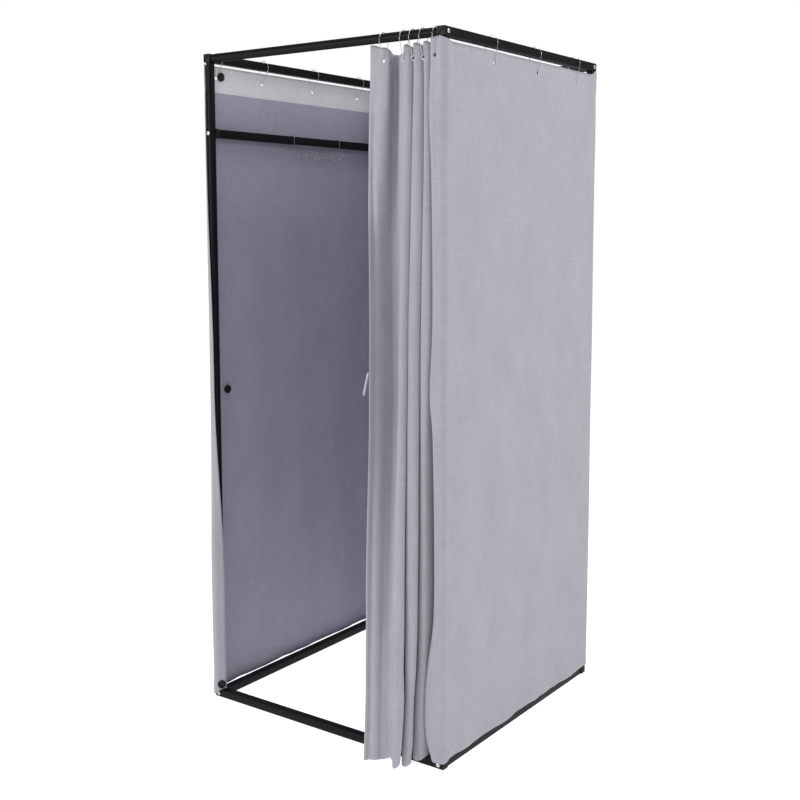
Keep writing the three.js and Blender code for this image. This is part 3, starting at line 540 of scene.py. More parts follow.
def cylinder(radius, depth, centre, axis, vertices=48):
    deselect()
    turn = Vector((0, 0, 1)).rotation_difference(Vector(axis)).to_euler()
    bpy.ops.mesh.primitive_cylinder_add(vertices=vertices, radius=radius, depth=depth, location=centre, rotation=turn)
    return active()


def open_ends(obj, axis, wall, depth):
    """Sinks a bore into both end faces of a tube."""
    pick(obj)
    bpy.ops.object.mode_set(mode="EDIT")
    select_faces(obj, lambda centre, normal: abs(normal[axis]) > 0.99)
    bpy.ops.mesh.inset(thickness=wall, use_individual=True)
    for end in (-1, 1):
        select_faces(obj, lambda centre, normal: normal[axis] * end > 0.99 and all(
            abs(centre[k]) < wall for k in range(3) if k != axis))
        move = [0.0, 0.0, 0.0]
        move[axis] = -end * depth
        bpy.ops.mesh.extrude_region_move(TRANSFORM_OT_translate={"value": move})
    bpy.ops.object.mode_set(mode="OBJECT")


def square_tube(context, node, axis):
    """A square tube over a CAD node's own length, with rounded corners and open ends."""
    settings = context.scene.room_frame
    low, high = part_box(node)
    side = TUBE if node.startswith("bottom") else RAIL
    size = [side, side, side]
    size[axis] = high[axis] - low[axis]
    centre = middle(node)
    centre.z = low[2] + side / 2 if node.startswith("bottom") else high[2] - side / 2
    deselect()
    bpy.ops.mesh.primitive_cube_add(size=1)
    obj = active()
    obj.scale = size
    settle(obj)
    bpy.ops.object.mode_set(mode="EDIT")
    bpy.ops.mesh.select_all(action="DESELECT")
    bpy.ops.mesh.select_mode(type="EDGE")
    bpy.ops.object.mode_set(mode="OBJECT")
    points = obj.data.vertices
    for edge in obj.data.edges:
        way = points[edge.vertices[1]].co - points[edge.vertices[0]].co
        edge.select = abs(way[axis]) > size[axis] / 2
    bpy.ops.object.mode_set(mode="EDIT")
    bpy.ops.mesh.bevel(offset=settings.corner, segments=5, affect="EDGES")
    bpy.ops.object.mode_set(mode="OBJECT")
    open_ends(obj, axis, settings.wall, TUBE)
    obj.location = centre
    settle(obj)
    smooth_piece(obj)
    return obj


def round_tube(context, node, axis):
    """A round tube over a CAD node's own length, with open ends."""
    settings = context.scene.room_frame
    length = span(node)[axis]
    deselect()
    direction = [0, 0, 0]
    direction[axis] = 1
    obj = cylinder(POST / 2, length, (0, 0, 0), direction, 64)
    settle(obj)
    open_ends(obj, axis, settings.wall, TUBE)
    obj.location = middle(node)
    settle(obj)
    if axis == 0:
        # A round rail's ends are cut round the tops of the posts.
        tops = []
        for side in (-1, 1):
            spot = Vector((side * LINE_X, middle(node).y, RAIL_TOP - RAIL - POST / 2 + settings.wall))
            tops.append(cylinder(POST / 2 + 0.0003, POST, spot, (0, 0, 1), 64))
        cut_with(obj, tops)
    smooth_piece(obj)
    return obj


class ROOM_OT_tubes(Operator):
    """Make the rails, bars, posts and crossbar"""

    bl_idname = "room.tubes"
    bl_label = "Tubes"

    def execute(self, context):
        paint = paint_material(context)
        for node, axis in (("top_rail_left", 1), ("top_rail_right", 1), ("bottom_bar_front", 0),
                           ("bottom_bar_back", 0), ("bottom_bar_left", 1), ("bottom_bar_right", 1), ("crossbar", 1)):
            obj = square_tube(context, node, axis)
            place_piece(obj, f"{node}_painted", [paint], "frame", [node])
        for node, axis in [("top_rail_front", 0), ("top_rail_back", 0)] + [(f"post_{e}_{s}", 2) for e, s in ENDS]:
            obj = round_tube(context, node, axis)
            place_piece(obj, f"{node}_painted", [paint], "frame", [node])
        return {"FINISHED"}


class ROOM_OT_plugs(Operator):
    """Make the plugs in the ends of the rails and bars"""

    bl_idname = "room.plugs"
    bl_label = "End plugs"

    def execute(self, context):
        plastic = plastic_material(context)
        corner = context.scene.room_frame.corner
        for end, side in ENDS:
            for kind in ("rail", "bar"):
                node = f"{kind}_plug_{end}_{side}"
                low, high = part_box(node)
                axis = 1 if kind == "rail" else 0
                out = 1 if middle(node)[axis] > (FRONT_Y + BACK_Y) / 2 * axis else -1
                face = high[axis] if out > 0 else low[axis]
                head = 0.0027
                side_length = RAIL if kind == "rail" else TUBE
                size = [side_length] * 3
                size[axis] = head
                centre = middle(node)
                centre[axis] = face - out * head / 2
                deselect()
                bpy.ops.mesh.primitive_cube_add(size=1, location=(0, 0, 0))
                obj = active()
                obj.scale = size
                settle(obj)
                bpy.ops.object.mode_set(mode="EDIT")
                bpy.ops.mesh.select_all(action="DESELECT")
                bpy.ops.mesh.select_mode(type="EDGE")
                bpy.ops.object.mode_set(mode="OBJECT")
                points = obj.data.vertices
                for edge in obj.data.edges:
                    way = points[edge.vertices[1]].co - points[edge.vertices[0]].co
                    edge.select = abs(way[axis]) > head / 2
                bpy.ops.object.mode_set(mode="EDIT")
                bpy.ops.mesh.bevel(offset=corner, segments=5, affect="EDGES")
                select_faces(obj, lambda c, n: n[axis] * out > 0.99)
                bpy.ops.mesh.bevel(offset=0.0007, segments=3, affect="EDGES")
                select_faces(obj, lambda c, n: n[axis] * out > 0.99 and c[axis] * out > head / 2 - 0.0001)
                bpy.ops.mesh.inset(thickness=0.0035)
                move = [0.0, 0.0, 0.0]
                move[axis] = -out * 0.0008
                bpy.ops.mesh.extrude_region_move(TRANSFORM_OT_translate={"value": move})
                bpy.ops.object.mode_set(mode="OBJECT")
                obj.location = centre
                settle(obj)
                rib_size = [0.0024, 0.0024, 0.0024]
                rib_size[1 - axis] = side_length - 0.0085
                rib_size[axis] = 0.0012
                deselect()
                bpy.ops.mesh.primitive_cube_add(size=1)
                rib = active()
                rib.scale = rib_size
                rib_centre = centre.copy()
                rib_centre[axis] = face - out * 0.0007
                rib.location = rib_centre
                settle(rib)
                apply_modifier(rib, "BEVEL", width=0.0005, segments=3)
                insert = Vector(size)
                for k in range(3):
                    insert[k] = side_length - 0.003 if k != axis else 0.008
                deselect()
                bpy.ops.mesh.primitive_cube_add(size=1)
                tail = active()
                tail.scale = insert
                tail_centre = centre.copy()
                tail_centre[axis] = face - out * (head + 0.004)
                tail.location = tail_centre
                settle(tail)
                apply_modifier(tail, "BEVEL", width=0.001, segments=2)
                obj = joined([obj, rib, tail])
                smooth_piece(obj)
                place_piece(obj, f"{node}_moulded", [plastic], "frame", [node])
        return {"FINISHED"}


def screw(context, node, axis, out):
    """A pan-head screw with a hexagon socket, its head towards out on an axis."""
    low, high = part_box(node)
    centre = middle(node)
    radius = span(node)[2] / 2
    face = high[axis] if out > 0 else low[axis]
    head_height = 0.0035
    direction = [0, 0, 0]
    direction[axis] = out
    head_centre = centre.copy()
    head_centre[axis] = face - out * head_height / 2
    head = cylinder(radius, head_height, head_centre, direction, 40)
    settle(head)
    bpy.ops.object.mode_set(mode="EDIT")
    select_faces(head, lambda c, n: n[axis] * out > 0.99)
    bpy.ops.mesh.bevel(offset=0.0016, segments=5, affect="EDGES")
    bpy.ops.object.mode_set(mode="OBJECT")
    socket_centre = centre.copy()
    socket_centre[axis] = face
    cut_with(head, [cylinder(0.0027, 0.0044, socket_centre, direction, 6)])
    shank_length = high[axis] - low[axis] - head_height
    shank_centre = centre.copy()
    shank_centre[axis] = face - out * (head_height + shank_length / 2 - 0.0002)
    shank = cylinder(0.003, shank_length, shank_centre, direction, 24)
    settle(shank)
    piece = joined([head, shank])
    smooth_piece(piece, 30)
    return piece


class ROOM_OT_screws(Operator):
    """Make the screws that hold the tubes together"""

    bl_idname = "room.screws"
    bl_label = "Screws"

    def execute(self, context):
        plating = plating_material(context)
        for end, side in ENDS:
            for kind, axis in (("rail", 0), ("bar", 1)):
                node = f"{kind}_screw_{end}_{side}"
                out = (1 if side == "right" else -1) if axis == 0 else (1 if end == "back" else -1)
                place_piece(screw(context, node, axis, out), f"{node}_plated", [plating], "frame", [node])
        for end, out in (("front", -1), ("back", 1)):
            node = f"crossbar_screw_{end}"
            place_piece(screw(context, node, 1, out), f"{node}_plated", [plating], "frame", [node])
        return {"FINISHED"}


class ROOM_OT_saddles(Operator):
    """Make the moulded saddles between the crossbar and its posts"""

    bl_idname = "room.saddles"
    bl_label = "Saddles"

    def execute(self, context):
        plastic = plastic_material(context)
        for end in ("front", "back"):
            node = f"saddle_{end}"
            deselect()
            bpy.ops.mesh.primitive_cube_add(size=1)
            obj = active()
            obj.scale = span(node)
            obj.location = middle(node)
            settle(obj)
            apply_modifier(obj, "BEVEL", width=0.0024, segments=4)
            post = middle(f"post_{end}_left")
            post.z = middle(node).z
            cut_with(obj, [cylinder(POST / 2 + 0.0003, 0.06, post, (0, 0, 1), 64),
                           cylinder(0.0033, 0.06, middle(node), (0, 1, 0), 24)])
            smooth_piece(obj)
            place_piece(obj, f"{node}_moulded", [plastic], "frame", [node])
        return {"FINISHED"}


# Wire


def wire_piece(runs, diameter):
    """Round wire along lists of points, as one mesh. Each run is a curve of its own."""
    pieces = []
    for points in runs:
        deselect()
        bpy.ops.curve.primitive_nurbs_path_add()
        curve = active()
        curve.data.splines.clear()
        spline = curve.data.splines.new("POLY")
        spline.points.add(len(points) - 1)
        for point, place in zip(spline.points, points):
            point.co = (*place, 1.0)
        curve.data.bevel_depth = diameter / 2
        curve.data.bevel_resolution = 3
        curve.data.use_fill_caps = True
        pick(curve)
        bpy.ops.object.convert(target="MESH")
        pieces.append(active())
    piece = joined(pieces)
    settle(piece)
    bpy.ops.object.mode_set(mode="EDIT")
    bpy.ops.mesh.select_all(action="SELECT")
    bpy.ops.mesh.remove_doubles(threshold=0.00002)
    bpy.ops.mesh.normals_make_consistent(inside=False)
    bpy.ops.object.mode_set(mode="OBJECT")
    smooth_piece(piece, 40)
    return piece


def ring_points(settings, loop, foot, across):
    """The path of a pear-shaped ring: a loop round the rail, drawn in to a small foot in the eyelet."""
    down = (foot - loop).normalized()
    side = (across - down * across.dot(down)).normalized()
    lean = math.asin((settings.loop - settings.foot) / (foot - loop).length)
    points = []

    def arc(centre, radius, start, stop, count):
        for i in range(count + 1):
            angle = mix(start, stop, i / count)
            points.append(centre + side * radius * math.cos(angle) + down * radius * math.sin(angle))

    arc(foot, settings.foot, math.pi - lean - 0.15, lean, 12)
    arc(loop, settings.loop, lean, -math.pi - lean, settings.steps)
    shut = foot - side * settings.foot * math.cos(lean) + down * settings.foot * math.sin(lean)
    last = points[-1]
    points.append(last + (shut - last) * 0.5)
    points.append(last + (shut - last) * 0.96)
    return points


def ring_places(settings, node):
    """The centres of a ring's two ends, read from its CAD node."""
    centre = middle(node)
    if "_left_" in node or "_right_" in node and "back" not in node.split("_")[2:3]:
        side = -1 if centre.x < 0 else 1
        hang = 0.0085
        loop = Vector((side * LINE_X, centre.y, 0))
        across = Vector((side, 0, 0))
    else:
        side = -1 if centre.y < 0 else 1
        hang = 0.0085 if side > 0 else (0.00705 if "return" in node else 0.0)
        loop = Vector((centre.x, FRONT_Y if side < 0 else BACK_Y, 0))
        across = Vector((0, side, 0))
    drop = math.sqrt(settings.span ** 2 - hang ** 2)
    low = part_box(node)[0][2]
    foot_z = low + 0.0013 + settings.foot
    loop.z = foot_z + drop
    foot = loop + across * hang
    foot.z = foot_z
    return loop, foot, across


RINGS = {"frame": ["wall_ring_left_corner", "wall_ring_left_front", "wall_ring_left_middle", "wall_ring_left_back",
                   "wall_ring_right_front", "wall_ring_right_middle", "wall_ring_right_back",
                   "wall_ring_back_left", "wall_ring_back_middle", "wall_ring_back_right", "wall_ring_return"],
         "curtain": ["curtain_ring_lead"], "second_ring": ["curtain_ring_second"],
         "third_ring": ["curtain_ring_third"], "fourth_ring": ["curtain_ring_fourth"]}


class ROOM_OT_rings(Operator):
    """Make the wire rings that carry the cloth"""

    bl_idname = "room.rings"
    bl_label = "Rings"

    def execute(self, context):
        settings = context.scene.room_rings
        chrome = chrome_material(context)
        for body, nodes in RINGS.items():
            for node in nodes:
                loop, foot, across = ring_places(settings, node)
                obj = wire_piece([ring_points(settings, loop, foot, across)], settings.wire)
                place_piece(obj, f"{node}_bright", [chrome], body, [node])
        return {"FINISHED"}


HOOKS = (-0.033, 0.023, 0.071, 0.114, 0.154)  # places along the crossbar, from the cabin's middle
HANGERS = (-0.057, 0.178)


def bent(corners, radius, steps=6):
    """A path through corners, each rounded to a radius."""
    points = [corners[0]]
    for before, corner, after in zip(corners, corners[1:], corners[2:]):
        back = (before - corner)
        ahead = (after - corner)
        reach = min(radius, back.length * 0.45, ahead.length * 0.45)
        start = corner + back.normalized() * reach
        stop = corner + ahead.normalized() * reach
        for i in range(steps + 1):
            t = i / steps
            points.append(start.lerp(corner, t).lerp(corner.lerp(stop, t), t))
    points.append(corners[-1])
    return points


class ROOM_OT_hook_rack(Operator):
    """Make the wire hook rack on the crossbar"""

    bl_idname = "room.hook_rack"
    bl_label = "Hook rack"

    def execute(self, context):
        settings = context.scene.room_rings
        wire = settings.rack_wire
        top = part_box("crossbar")[1][2]
        shift = (FRONT_Y + BACK_Y) / 2
        out = RAIL / 2 + 0.0003 + wire / 2
        low = top - RAIL - 0.003
        inner = -LINE_X + out
        runs = []
        for y in HANGERS:
            y += shift
            runs.append(bent([Vector((-LINE_X - out, y, top - 0.0182)), Vector((-LINE_X - out, y, top + 0.0003 + wire / 2)),
                              Vector((inner, y, top + 0.0003 + wire / 2)), Vector((inner, y, low))], 0.003))
        runs.append([Vector((inner, HANGERS[0] + shift - wire, low)), Vector((inner, HANGERS[1] + shift + wire, low))])
        for y in HOOKS:
            y += shift
            foot = low - 0.042
            runs.append(bent([Vector((inner, y, low)), Vector((inner, y, foot + 0.002)), Vector((inner + 0.012, y, foot)),
                              Vector((inner + 0.02, y, foot + 0.006)), Vector((inner + 0.032, y, foot + 0.014))], 0.009))
        obj = wire_piece(runs, wire)
        tips = []
        for y in HOOKS:
            deselect()
            bpy.ops.mesh.primitive_uv_sphere_add(segments=16, ring_count=10, radius=wire * 0.72,
                                                 location=(inner + 0.032, y + shift, low - 0.028))
            ball = active()
            settle(ball)
            smooth_piece(ball, 60)
            tips.append(ball)
        obj = joined([obj, *tips])
        place_piece(obj, "hook_rack_bright", [chrome_material(context)], "rack", ["hook_rack"])
        return {"FINISHED"}


# Cloth


CLOTH_OUT = 0.01805  # the walls' middle surface, from the posts' centre lines
HANG_OUT = 0.0085  # and where it hangs at the rings
LAYER_STEP = 0.004
HANG_RUN = 0.028
WALL_WAVE = 0.005
WAVE_RUN = 0.11
HUNG_SHARE = 0.024
FREE_SHARE = 0.09


def arc_round(x, y, radius_x, radius_y, start, stop, count):
    spots = []
    for i in range(count + 1):
        angle = math.radians(mix(start, stop, i / count))
        spots.append((x + radius_x * math.cos(angle), y + radius_y * math.sin(angle)))
    return spots


def spline_row(points, counts):
    """Points along a smooth line through control points, with a set number of steps in each stretch."""
    gaps = [math.dist(a[:2], b[:2]) or 1e-6 for a, b in zip(points, points[1:])]
    slopes = []
    for i, point in enumerate(points):
        if i == 0:
            slopes.append([(b - a) / gaps[0] for a, b in zip(points[0], points[1])])
        elif i == len(points) - 1:
            slopes.append([(b - a) / gaps[-1] for a, b in zip(points[-2], points[-1])])
        else:
            before, after = gaps[i - 1], gaps[i]
            slopes.append([((p - a) / before * after + (b - p) / after * before) / (before + after)
                           for a, p, b in zip(points[i - 1], point, points[i + 1])])
    line = []
    for i, gap in enumerate(gaps):
        for step in range(counts[i]):
            t = step / counts[i]
            a, b = 2 * t ** 3 - 3 * t ** 2 + 1, t ** 3 - 2 * t ** 2 + t
            c, d = -2 * t ** 3 + 3 * t ** 2, t ** 3 - t ** 2
            line.append([a * p + b * gap * m + c * q + d * gap * n for p, m, q, n in
                         zip(points[i], slopes[i], points[i + 1], slopes[i + 1])])
    line.append(list(points[-1]))
    return line


def hang_cloth(control, ripple, rows, step):
    """A cloth through control points at each share of its drop, with ripples along its normal.

    control(share) gives (x, y, top z, low z) points, with the cloth's outside to the right of their way.
    ripple(run share, share, metres from the top) gives how far the cloth stands out there.
    """
    reference = control(0.5)
    counts = [max(2, math.ceil(math.dist(a[:2], b[:2]) / step)) for a, b in zip(reference, reference[1:])]
    columns = sum(counts)
    deselect()
    bpy.ops.mesh.primitive_grid_add(x_subdivisions=columns, y_subdivisions=rows, size=1, calc_uvs=True)
    obj = active()
    lines = []
    for j in range(rows + 1):
        share = 1 - j / rows
        line = spline_row(control(share), counts)
        lengths = [0.0]
        for a, b in zip(line, line[1:]):
            lengths.append(lengths[-1] + math.dist(a[:2], b[:2]))
        row = []
        for i, (x, y, top, low) in enumerate(line):
            before, after = line[max(0, i - 1)], line[min(columns, i + 1)]
            way = Vector((after[0] - before[0], after[1] - before[1], 0)).normalized()
            z = mix(top, low, share)
            out = ripple(lengths[i] / lengths[-1], share, top - z)
            row.append((Vector((x + way.y * out, y - way.x * out, z)), lengths[i]))
        lines.append(row)
    mesh = obj.data
    places = {}
    for vertex in mesh.vertices:
        i, j = round((vertex.co.x + 0.5) * columns), round((vertex.co.y + 0.5) * rows)
        places[vertex.index] = (i, j)
    foot = lines[0][0][0].z
    width = max(row[-1][1] for row in lines)
    uv = mesh.uv_layers.active
    uv.name = "UVMap"
    for loop in mesh.loops:
        i, j = places[loop.vertex_index]
        place, length = lines[j][i]
        uv.data[loop.index].uv = (length * width / lines[j][-1][1], place.z - foot)
    for vertex in mesh.vertices:
        i, j = places[vertex.index]
        vertex.co = lines[j][i][0]
    height = max(place.z for place, _ in lines[-1]) - foot
    return obj, width, height


def finish_cloth(obj, name, width, height, settings, eyelets, body, node):
    """Gives a cloth its thickness, hems, two faces and eyelet holes."""
    mesh = obj.data
    hems = obj.vertex_groups.new(name="hems")
    uv = mesh.uv_layers["UVMap"].data
    spots = {}
    for loop in mesh.loops:
        spots[loop.vertex_index] = uv[loop.index].uv.copy()
    for index, (u, v) in spots.items():
        edge = min(u - settings.side_hem, width - u - settings.side_hem, v - settings.hem,
                   height - settings.header - v)
        hems.add([index], 1.0 if edge < 0.001 else 0.6, "REPLACE")
    outside = cloth_material(f"{name} outer face", settings.outside, width, height, settings)
    # The inner face is drawn darker than the outer face as painted shade of the cabin's inside.
    inside = cloth_material(f"{name} inner face", settings.inside, width, height, settings)
    # The header band's pale colour is painted light, standing in for light that shines through the cloth along the top.
    band_with_painted_light = cloth_material(f"{name} header band", settings.band_with_painted_light, width, height, settings)
    mesh.materials.clear()
    mesh.materials.append(outside)
    mesh.materials.append(inside)
    mesh.materials.append(band_with_painted_light)
    apply_modifier(obj, "SOLIDIFY", thickness=settings.thickness, offset=0.0, vertex_group="hems",
                   material_offset=1, material_offset_rim=0)
    uv = mesh.uv_layers["UVMap"].data
    # Inner faces above the header line take the header band's pale colour, which is painted light.
    for face in mesh.polygons:
        if face.material_index == 1:
            v = sum(uv[i].uv.y for i in face.loop_indices) / len(face.loop_indices)
            if v > height - settings.header:
                face.material_index = 2
    cut_with(obj, [cylinder(0.0056, 0.02, centre, normal, 24) for centre, normal in eyelets])
    pick(obj)
    bpy.ops.object.shade_smooth()
    place_piece(obj, name, [outside, inside, band_with_painted_light], body, [node])
    return obj


def eyelet_rims(context, name, eyelets, body):
    """Rolled metal eyelets in a cloth, as one piece."""
    settings = context.scene.room_rings
    rims = []
    for centre, normal in eyelets:
        deselect()
        turn = Vector((0, 0, 1)).rotation_difference(Vector(normal)).to_euler()
        bpy.ops.mesh.primitive_torus_add(major_segments=36, minor_segments=10, location=centre, rotation=turn,
                                         major_radius=settings.hole + settings.rim / 2 - 0.0002,
                                         minor_radius=settings.rim / 2)
        rim = active()
        rim.scale = (1, 1, 0.75)
        settle(rim)
        rims.append(rim)
    piece = joined(rims)
    smooth_piece(piece, 60)
    return place_piece(piece, name, [eyelet_material(context)], body)


def wall_out(share, place, run):
    nearest = min(place, run - place)
    hung = (CLOTH_OUT - HANG_OUT) * (1 - between(HUNG_SHARE, FREE_SHARE, share)) * smooth(nearest / HANG_RUN)
    crest = (1 - math.cos(8 * math.pi * place / run)) / 2
    return CLOTH_OUT - hung + WALL_WAVE * smooth(share) * crest * smooth(nearest / WAVE_RUN)


def column_places(run, count):
    places = [HANG_RUN / 2, HANG_RUN]
    places += [mix(HANG_RUN, run - HANG_RUN, i / count) for i in range(1, count)]
    return places + [run - HANG_RUN, run - HANG_RUN / 2]


SIDE_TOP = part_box("right_wall")[1][2]
BACK_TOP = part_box("back_wall")[1][2]
CURTAIN_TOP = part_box("front_curtain")[1][2]


def side_wall(side, hem, front_edge, corner_rise, sag):
    """Control points of a side wall, from its front edge to its return onto the back."""

    def control(share):
        row = []
        for i, (x, y, low) in enumerate(front_edge(share)):
            row.append((x, y, SIDE_TOP + mix(corner_rise, -sag, smooth(i / 6 - 0.3)), low))
        for place in column_places(RUN_Y, 28):
            row.append((side * (LINE_X + wall_out(share, place, RUN_Y)), FRONT_Y + place, SIDE_TOP - sag, hem))
        square = 0.009 * smooth(share)
        for x, y in arc_round(LINE_X + square, BACK_Y + square, CLOTH_OUT - square,
                              CLOTH_OUT + LAYER_STEP - square, 0, 90, 4):
            row.append((side * x, y, SIDE_TOP, hem))
        for x in (LINE_X - HANG_RUN / 2, LINE_X + CLOTH_OUT - 0.042):
            row.append((side * x, BACK_Y + CLOTH_OUT + LAYER_STEP, SIDE_TOP, hem))
        return row if side > 0 else row[::-1]

    return control


FLAP = [(0.022, -0.0008), (0.011, -0.0118), (0.0, -0.0228), (-0.01205, -0.0228), (-0.019, -0.014), (-0.01805, 0.0)]


def left_front(share):
    narrow = arc_round(-LINE_X, FRONT_Y, CLOTH_OUT, CLOTH_OUT, 244, 180, 5)
    wide = [(0.0085 - LINE_X, FRONT_Y - CLOTH_OUT)] + arc_round(-LINE_X, FRONT_Y, CLOTH_OUT, CLOTH_OUT, 270, 180, 4)
    to_wide = between(0.12, 0.48, share)
    to_flap = between(0.5, 0.82, share)
    lows = (0.0297, 0.0273, 0.0163, 0.011, 0.011, 0.027)
    row = []
    for (x, y), (wide_x, wide_y), (flap_x, flap_y), low in zip(narrow, wide, FLAP, lows):
        row.append((mix(mix(x, wide_x, to_wide), flap_x - LINE_X, to_flap),
                    mix(mix(y, wide_y, to_wide), flap_y + FRONT_Y, to_flap), low))
    return row


def right_front(share):
    width = read((0, 0.05, 0.1, 0.174, 0.25, 0.38, 0.48, 0.535, 0.72, 0.8, 0.86, 0.91, 0.965, 1),
                 (0.0545, 0.053, 0.0515, 0.0445, 0.041, 0.0385, 0.0465, 0.037, 0.0295, 0.0325, 0.0495, 0.059, 0.057, 0.036), share)
    edge = LINE_X + CLOTH_OUT - width
    out = CLOTH_OUT - (CLOTH_OUT - HANG_OUT) * (1 - between(HUNG_SHARE, FREE_SHARE, share))
    belly = 0.004 * between(0.5, 1, share)
    square = 0.009 * smooth(share)
    row = [(edge, FRONT_Y - out, 0.024), (min(edge + 0.014, LINE_X - POST / 3), FRONT_Y - out - belly, 0.02),
           (LINE_X - POST / 6, FRONT_Y - mix(out, CLOTH_OUT, 0.75) - belly / 2, 0.02)]
    for x, y in arc_round(LINE_X + square, FRONT_Y - square, CLOTH_OUT - square, CLOTH_OUT - square, -90, 0, 4):
        row.append((x, y, 0.02))
    return row


def wrinkles(seed, size):
    """Shallow crumples all over a wall, a puckered header seam and pulls near the lower hem."""

    def out(run_share, share, from_top):
        u = run_share * size
        soft = noise.noise(Vector((u * 5, from_top * 2.2, seed))) * 0.0026
        fine = noise.noise(Vector((u * 26, from_top * 9, seed + 7))) * 0.0007
        seam = math.exp(-((from_top - 0.077) / 0.012) ** 2)
        pucker = noise.noise(Vector((u * 70, from_top * 14, seed + 3))) * 0.0026 * seam
        drag = noise.noise(Vector((u * 22 + from_top * 9, from_top * 7, seed + 11))) * 0.0034 * between(0.9, 1.0, share)
        below = noise.noise(Vector((u * 12, from_top * 8, seed + 15))) * 0.0028 * math.exp(-((from_top - 0.08) / 0.06) ** 2)
        ends = smooth(run_share * 12) * smooth((1 - run_share) * 12)
        return (soft + fine + pucker + drag + below) * ends - 0.0005 * seam

    return out


def eyelet_at(node, settings):
    """The centre and direction of the eyelet that a ring passes through."""
    _, foot, across = ring_places(settings, node)
    return foot - Vector((0, 0, settings.foot - 0.0013 - 0.0005 + settings.hole)), across


class ROOM_OT_side_walls(Operator):
    """Make the left and right cloth walls"""

    bl_idname = "room.side_walls"
    bl_label = "Side walls"

    def execute(self, context):
        settings = context.scene.room_cloth
        rings = context.scene.room_rings
        for side, name, hem, edge, rise, sag, seed in ((-1, "left", 0.0235, left_front, 0.0, 0.003, 3.0),
                                                       (1, "right", 0.028, right_front, 0.004, 0.007, 9.0)):
            control = side_wall(side, hem, edge, rise, sag)
            obj, width, height = hang_cloth(control, wrinkles(seed, 0.96), 200, settings.step)
            nodes = [n for n in RINGS["frame"] if n.startswith(f"wall_ring_{name}_")]
            eyelets = [eyelet_at(node, rings) for node in nodes]
            if side > 0:
                eyelets.append(eyelet_at("wall_ring_return", rings))
            piece = finish_cloth(obj, f"{name}_wall_cloth", width, height, settings, eyelets, "frame", f"{name}_wall")
            rims = eyelet_rims(context, f"{name}_wall_eyelets", eyelets, "frame")
        return {"FINISHED"}


class ROOM_OT_back_wall(Operator):
    """Make the back cloth wall"""

    bl_idname = "room.back_wall"
    bl_label = "Back wall"

    def execute(self, context):
        settings = context.scene.room_cloth
        run = 2 * (LINE_X + LAYER_STEP)

        def control(share):
            places = [0.0, *column_places(run, 28), run]
            return [(run / 2 - place, BACK_Y + wall_out(share, max(0.0, place - LAYER_STEP), 2 * LINE_X),
                     BACK_TOP, 0.022) for place in places]

        obj, width, height = hang_cloth(control, wrinkles(5.0, 0.85), 200, settings.step)
        nodes = [n for n in RINGS["frame"] if n.startswith("wall_ring_back_")]
        eyelets = [eyelet_at(node, context.scene.room_rings) for node in nodes]
        piece = finish_cloth(obj, "back_wall_cloth", width, height, settings, eyelets, "frame", "back_wall")
        rims = eyelet_rims(context, "back_wall_eyelets", eyelets, "frame")
        return {"FINISHED"}


# Places across the gathered curtain at rising shares of its drop, to the left of the right post's line.
CURTAIN_SHARES = (0.0, 0.04, 0.1, 0.175, 0.25, 0.38, 0.48, 0.535, 0.72, 0.8, 0.86, 0.91, 0.97, 1.0)
LEAD = (0.237, 0.235, 0.235, 0.232, 0.2275, 0.216, 0.2105, 0.2075, 0.2045, 0.1995, 0.1965, 0.194, 0.194, 0.195)
VALLEY = (0.182, 0.182, 0.184, 0.19, 0.1945, 0.187, 0.18, 0.1755, 0.16, 0.153, 0.148, 0.144, 0.139, 0.136)
VALLEY_DEPTH = (0.03, 0.034, 0.039, 0.05, 0.061, 0.069, 0.071, 0.067, 0.048, 0.039, 0.033, 0.03, 0.029, 0.03)
# The left and right sides of the three folds, and how far their fronts stand out at the lower edge.
FOLDS = (
    ((0.131, 0.129, 0.128, 0.126, 0.1245, 0.121, 0.1175, 0.1167, 0.1176, 0.1144, 0.112, 0.1105, 0.108, 0.1065),
     (0.104, 0.1015, 0.099, 0.098, 0.098, 0.0977, 0.095, 0.0942, 0.0876, 0.083, 0.0815, 0.0762, 0.081, 0.085)),
    ((0.1005, 0.0975, 0.0977, 0.099, 0.0994, 0.1018, 0.1001, 0.1001, 0.0963, 0.0933, 0.0908, 0.087, 0.0935, 0.0935),
     (0.071, 0.068, 0.0655, 0.065, 0.0645, 0.066, 0.0635, 0.062, 0.0564, 0.0552, 0.057, 0.0625, 0.0645, 0.068)),
    ((0.0685, 0.0652, 0.0633, 0.0632, 0.0652, 0.0685, 0.0698, 0.069, 0.0671, 0.0683, 0.0691, 0.076, 0.0791, 0.0774),
     (0.042, 0.0416, 0.0396, 0.0364, 0.0337, 0.032, 0.0361, 0.0386, 0.0349, 0.0352, 0.0382, 0.0437, 0.0437, 0.0429)))
FOLD_REACHES = (0.0875, 0.0595, 0.0285)
FOLD_DEPTH = (0.066, 0.07, 0.076, 0.08, 0.082, 0.084, 0.084, 0.082, 0.08, 0.078, 0.074, 0.072, 0.07, 0.07)
LEAD_REACH = 0.0985


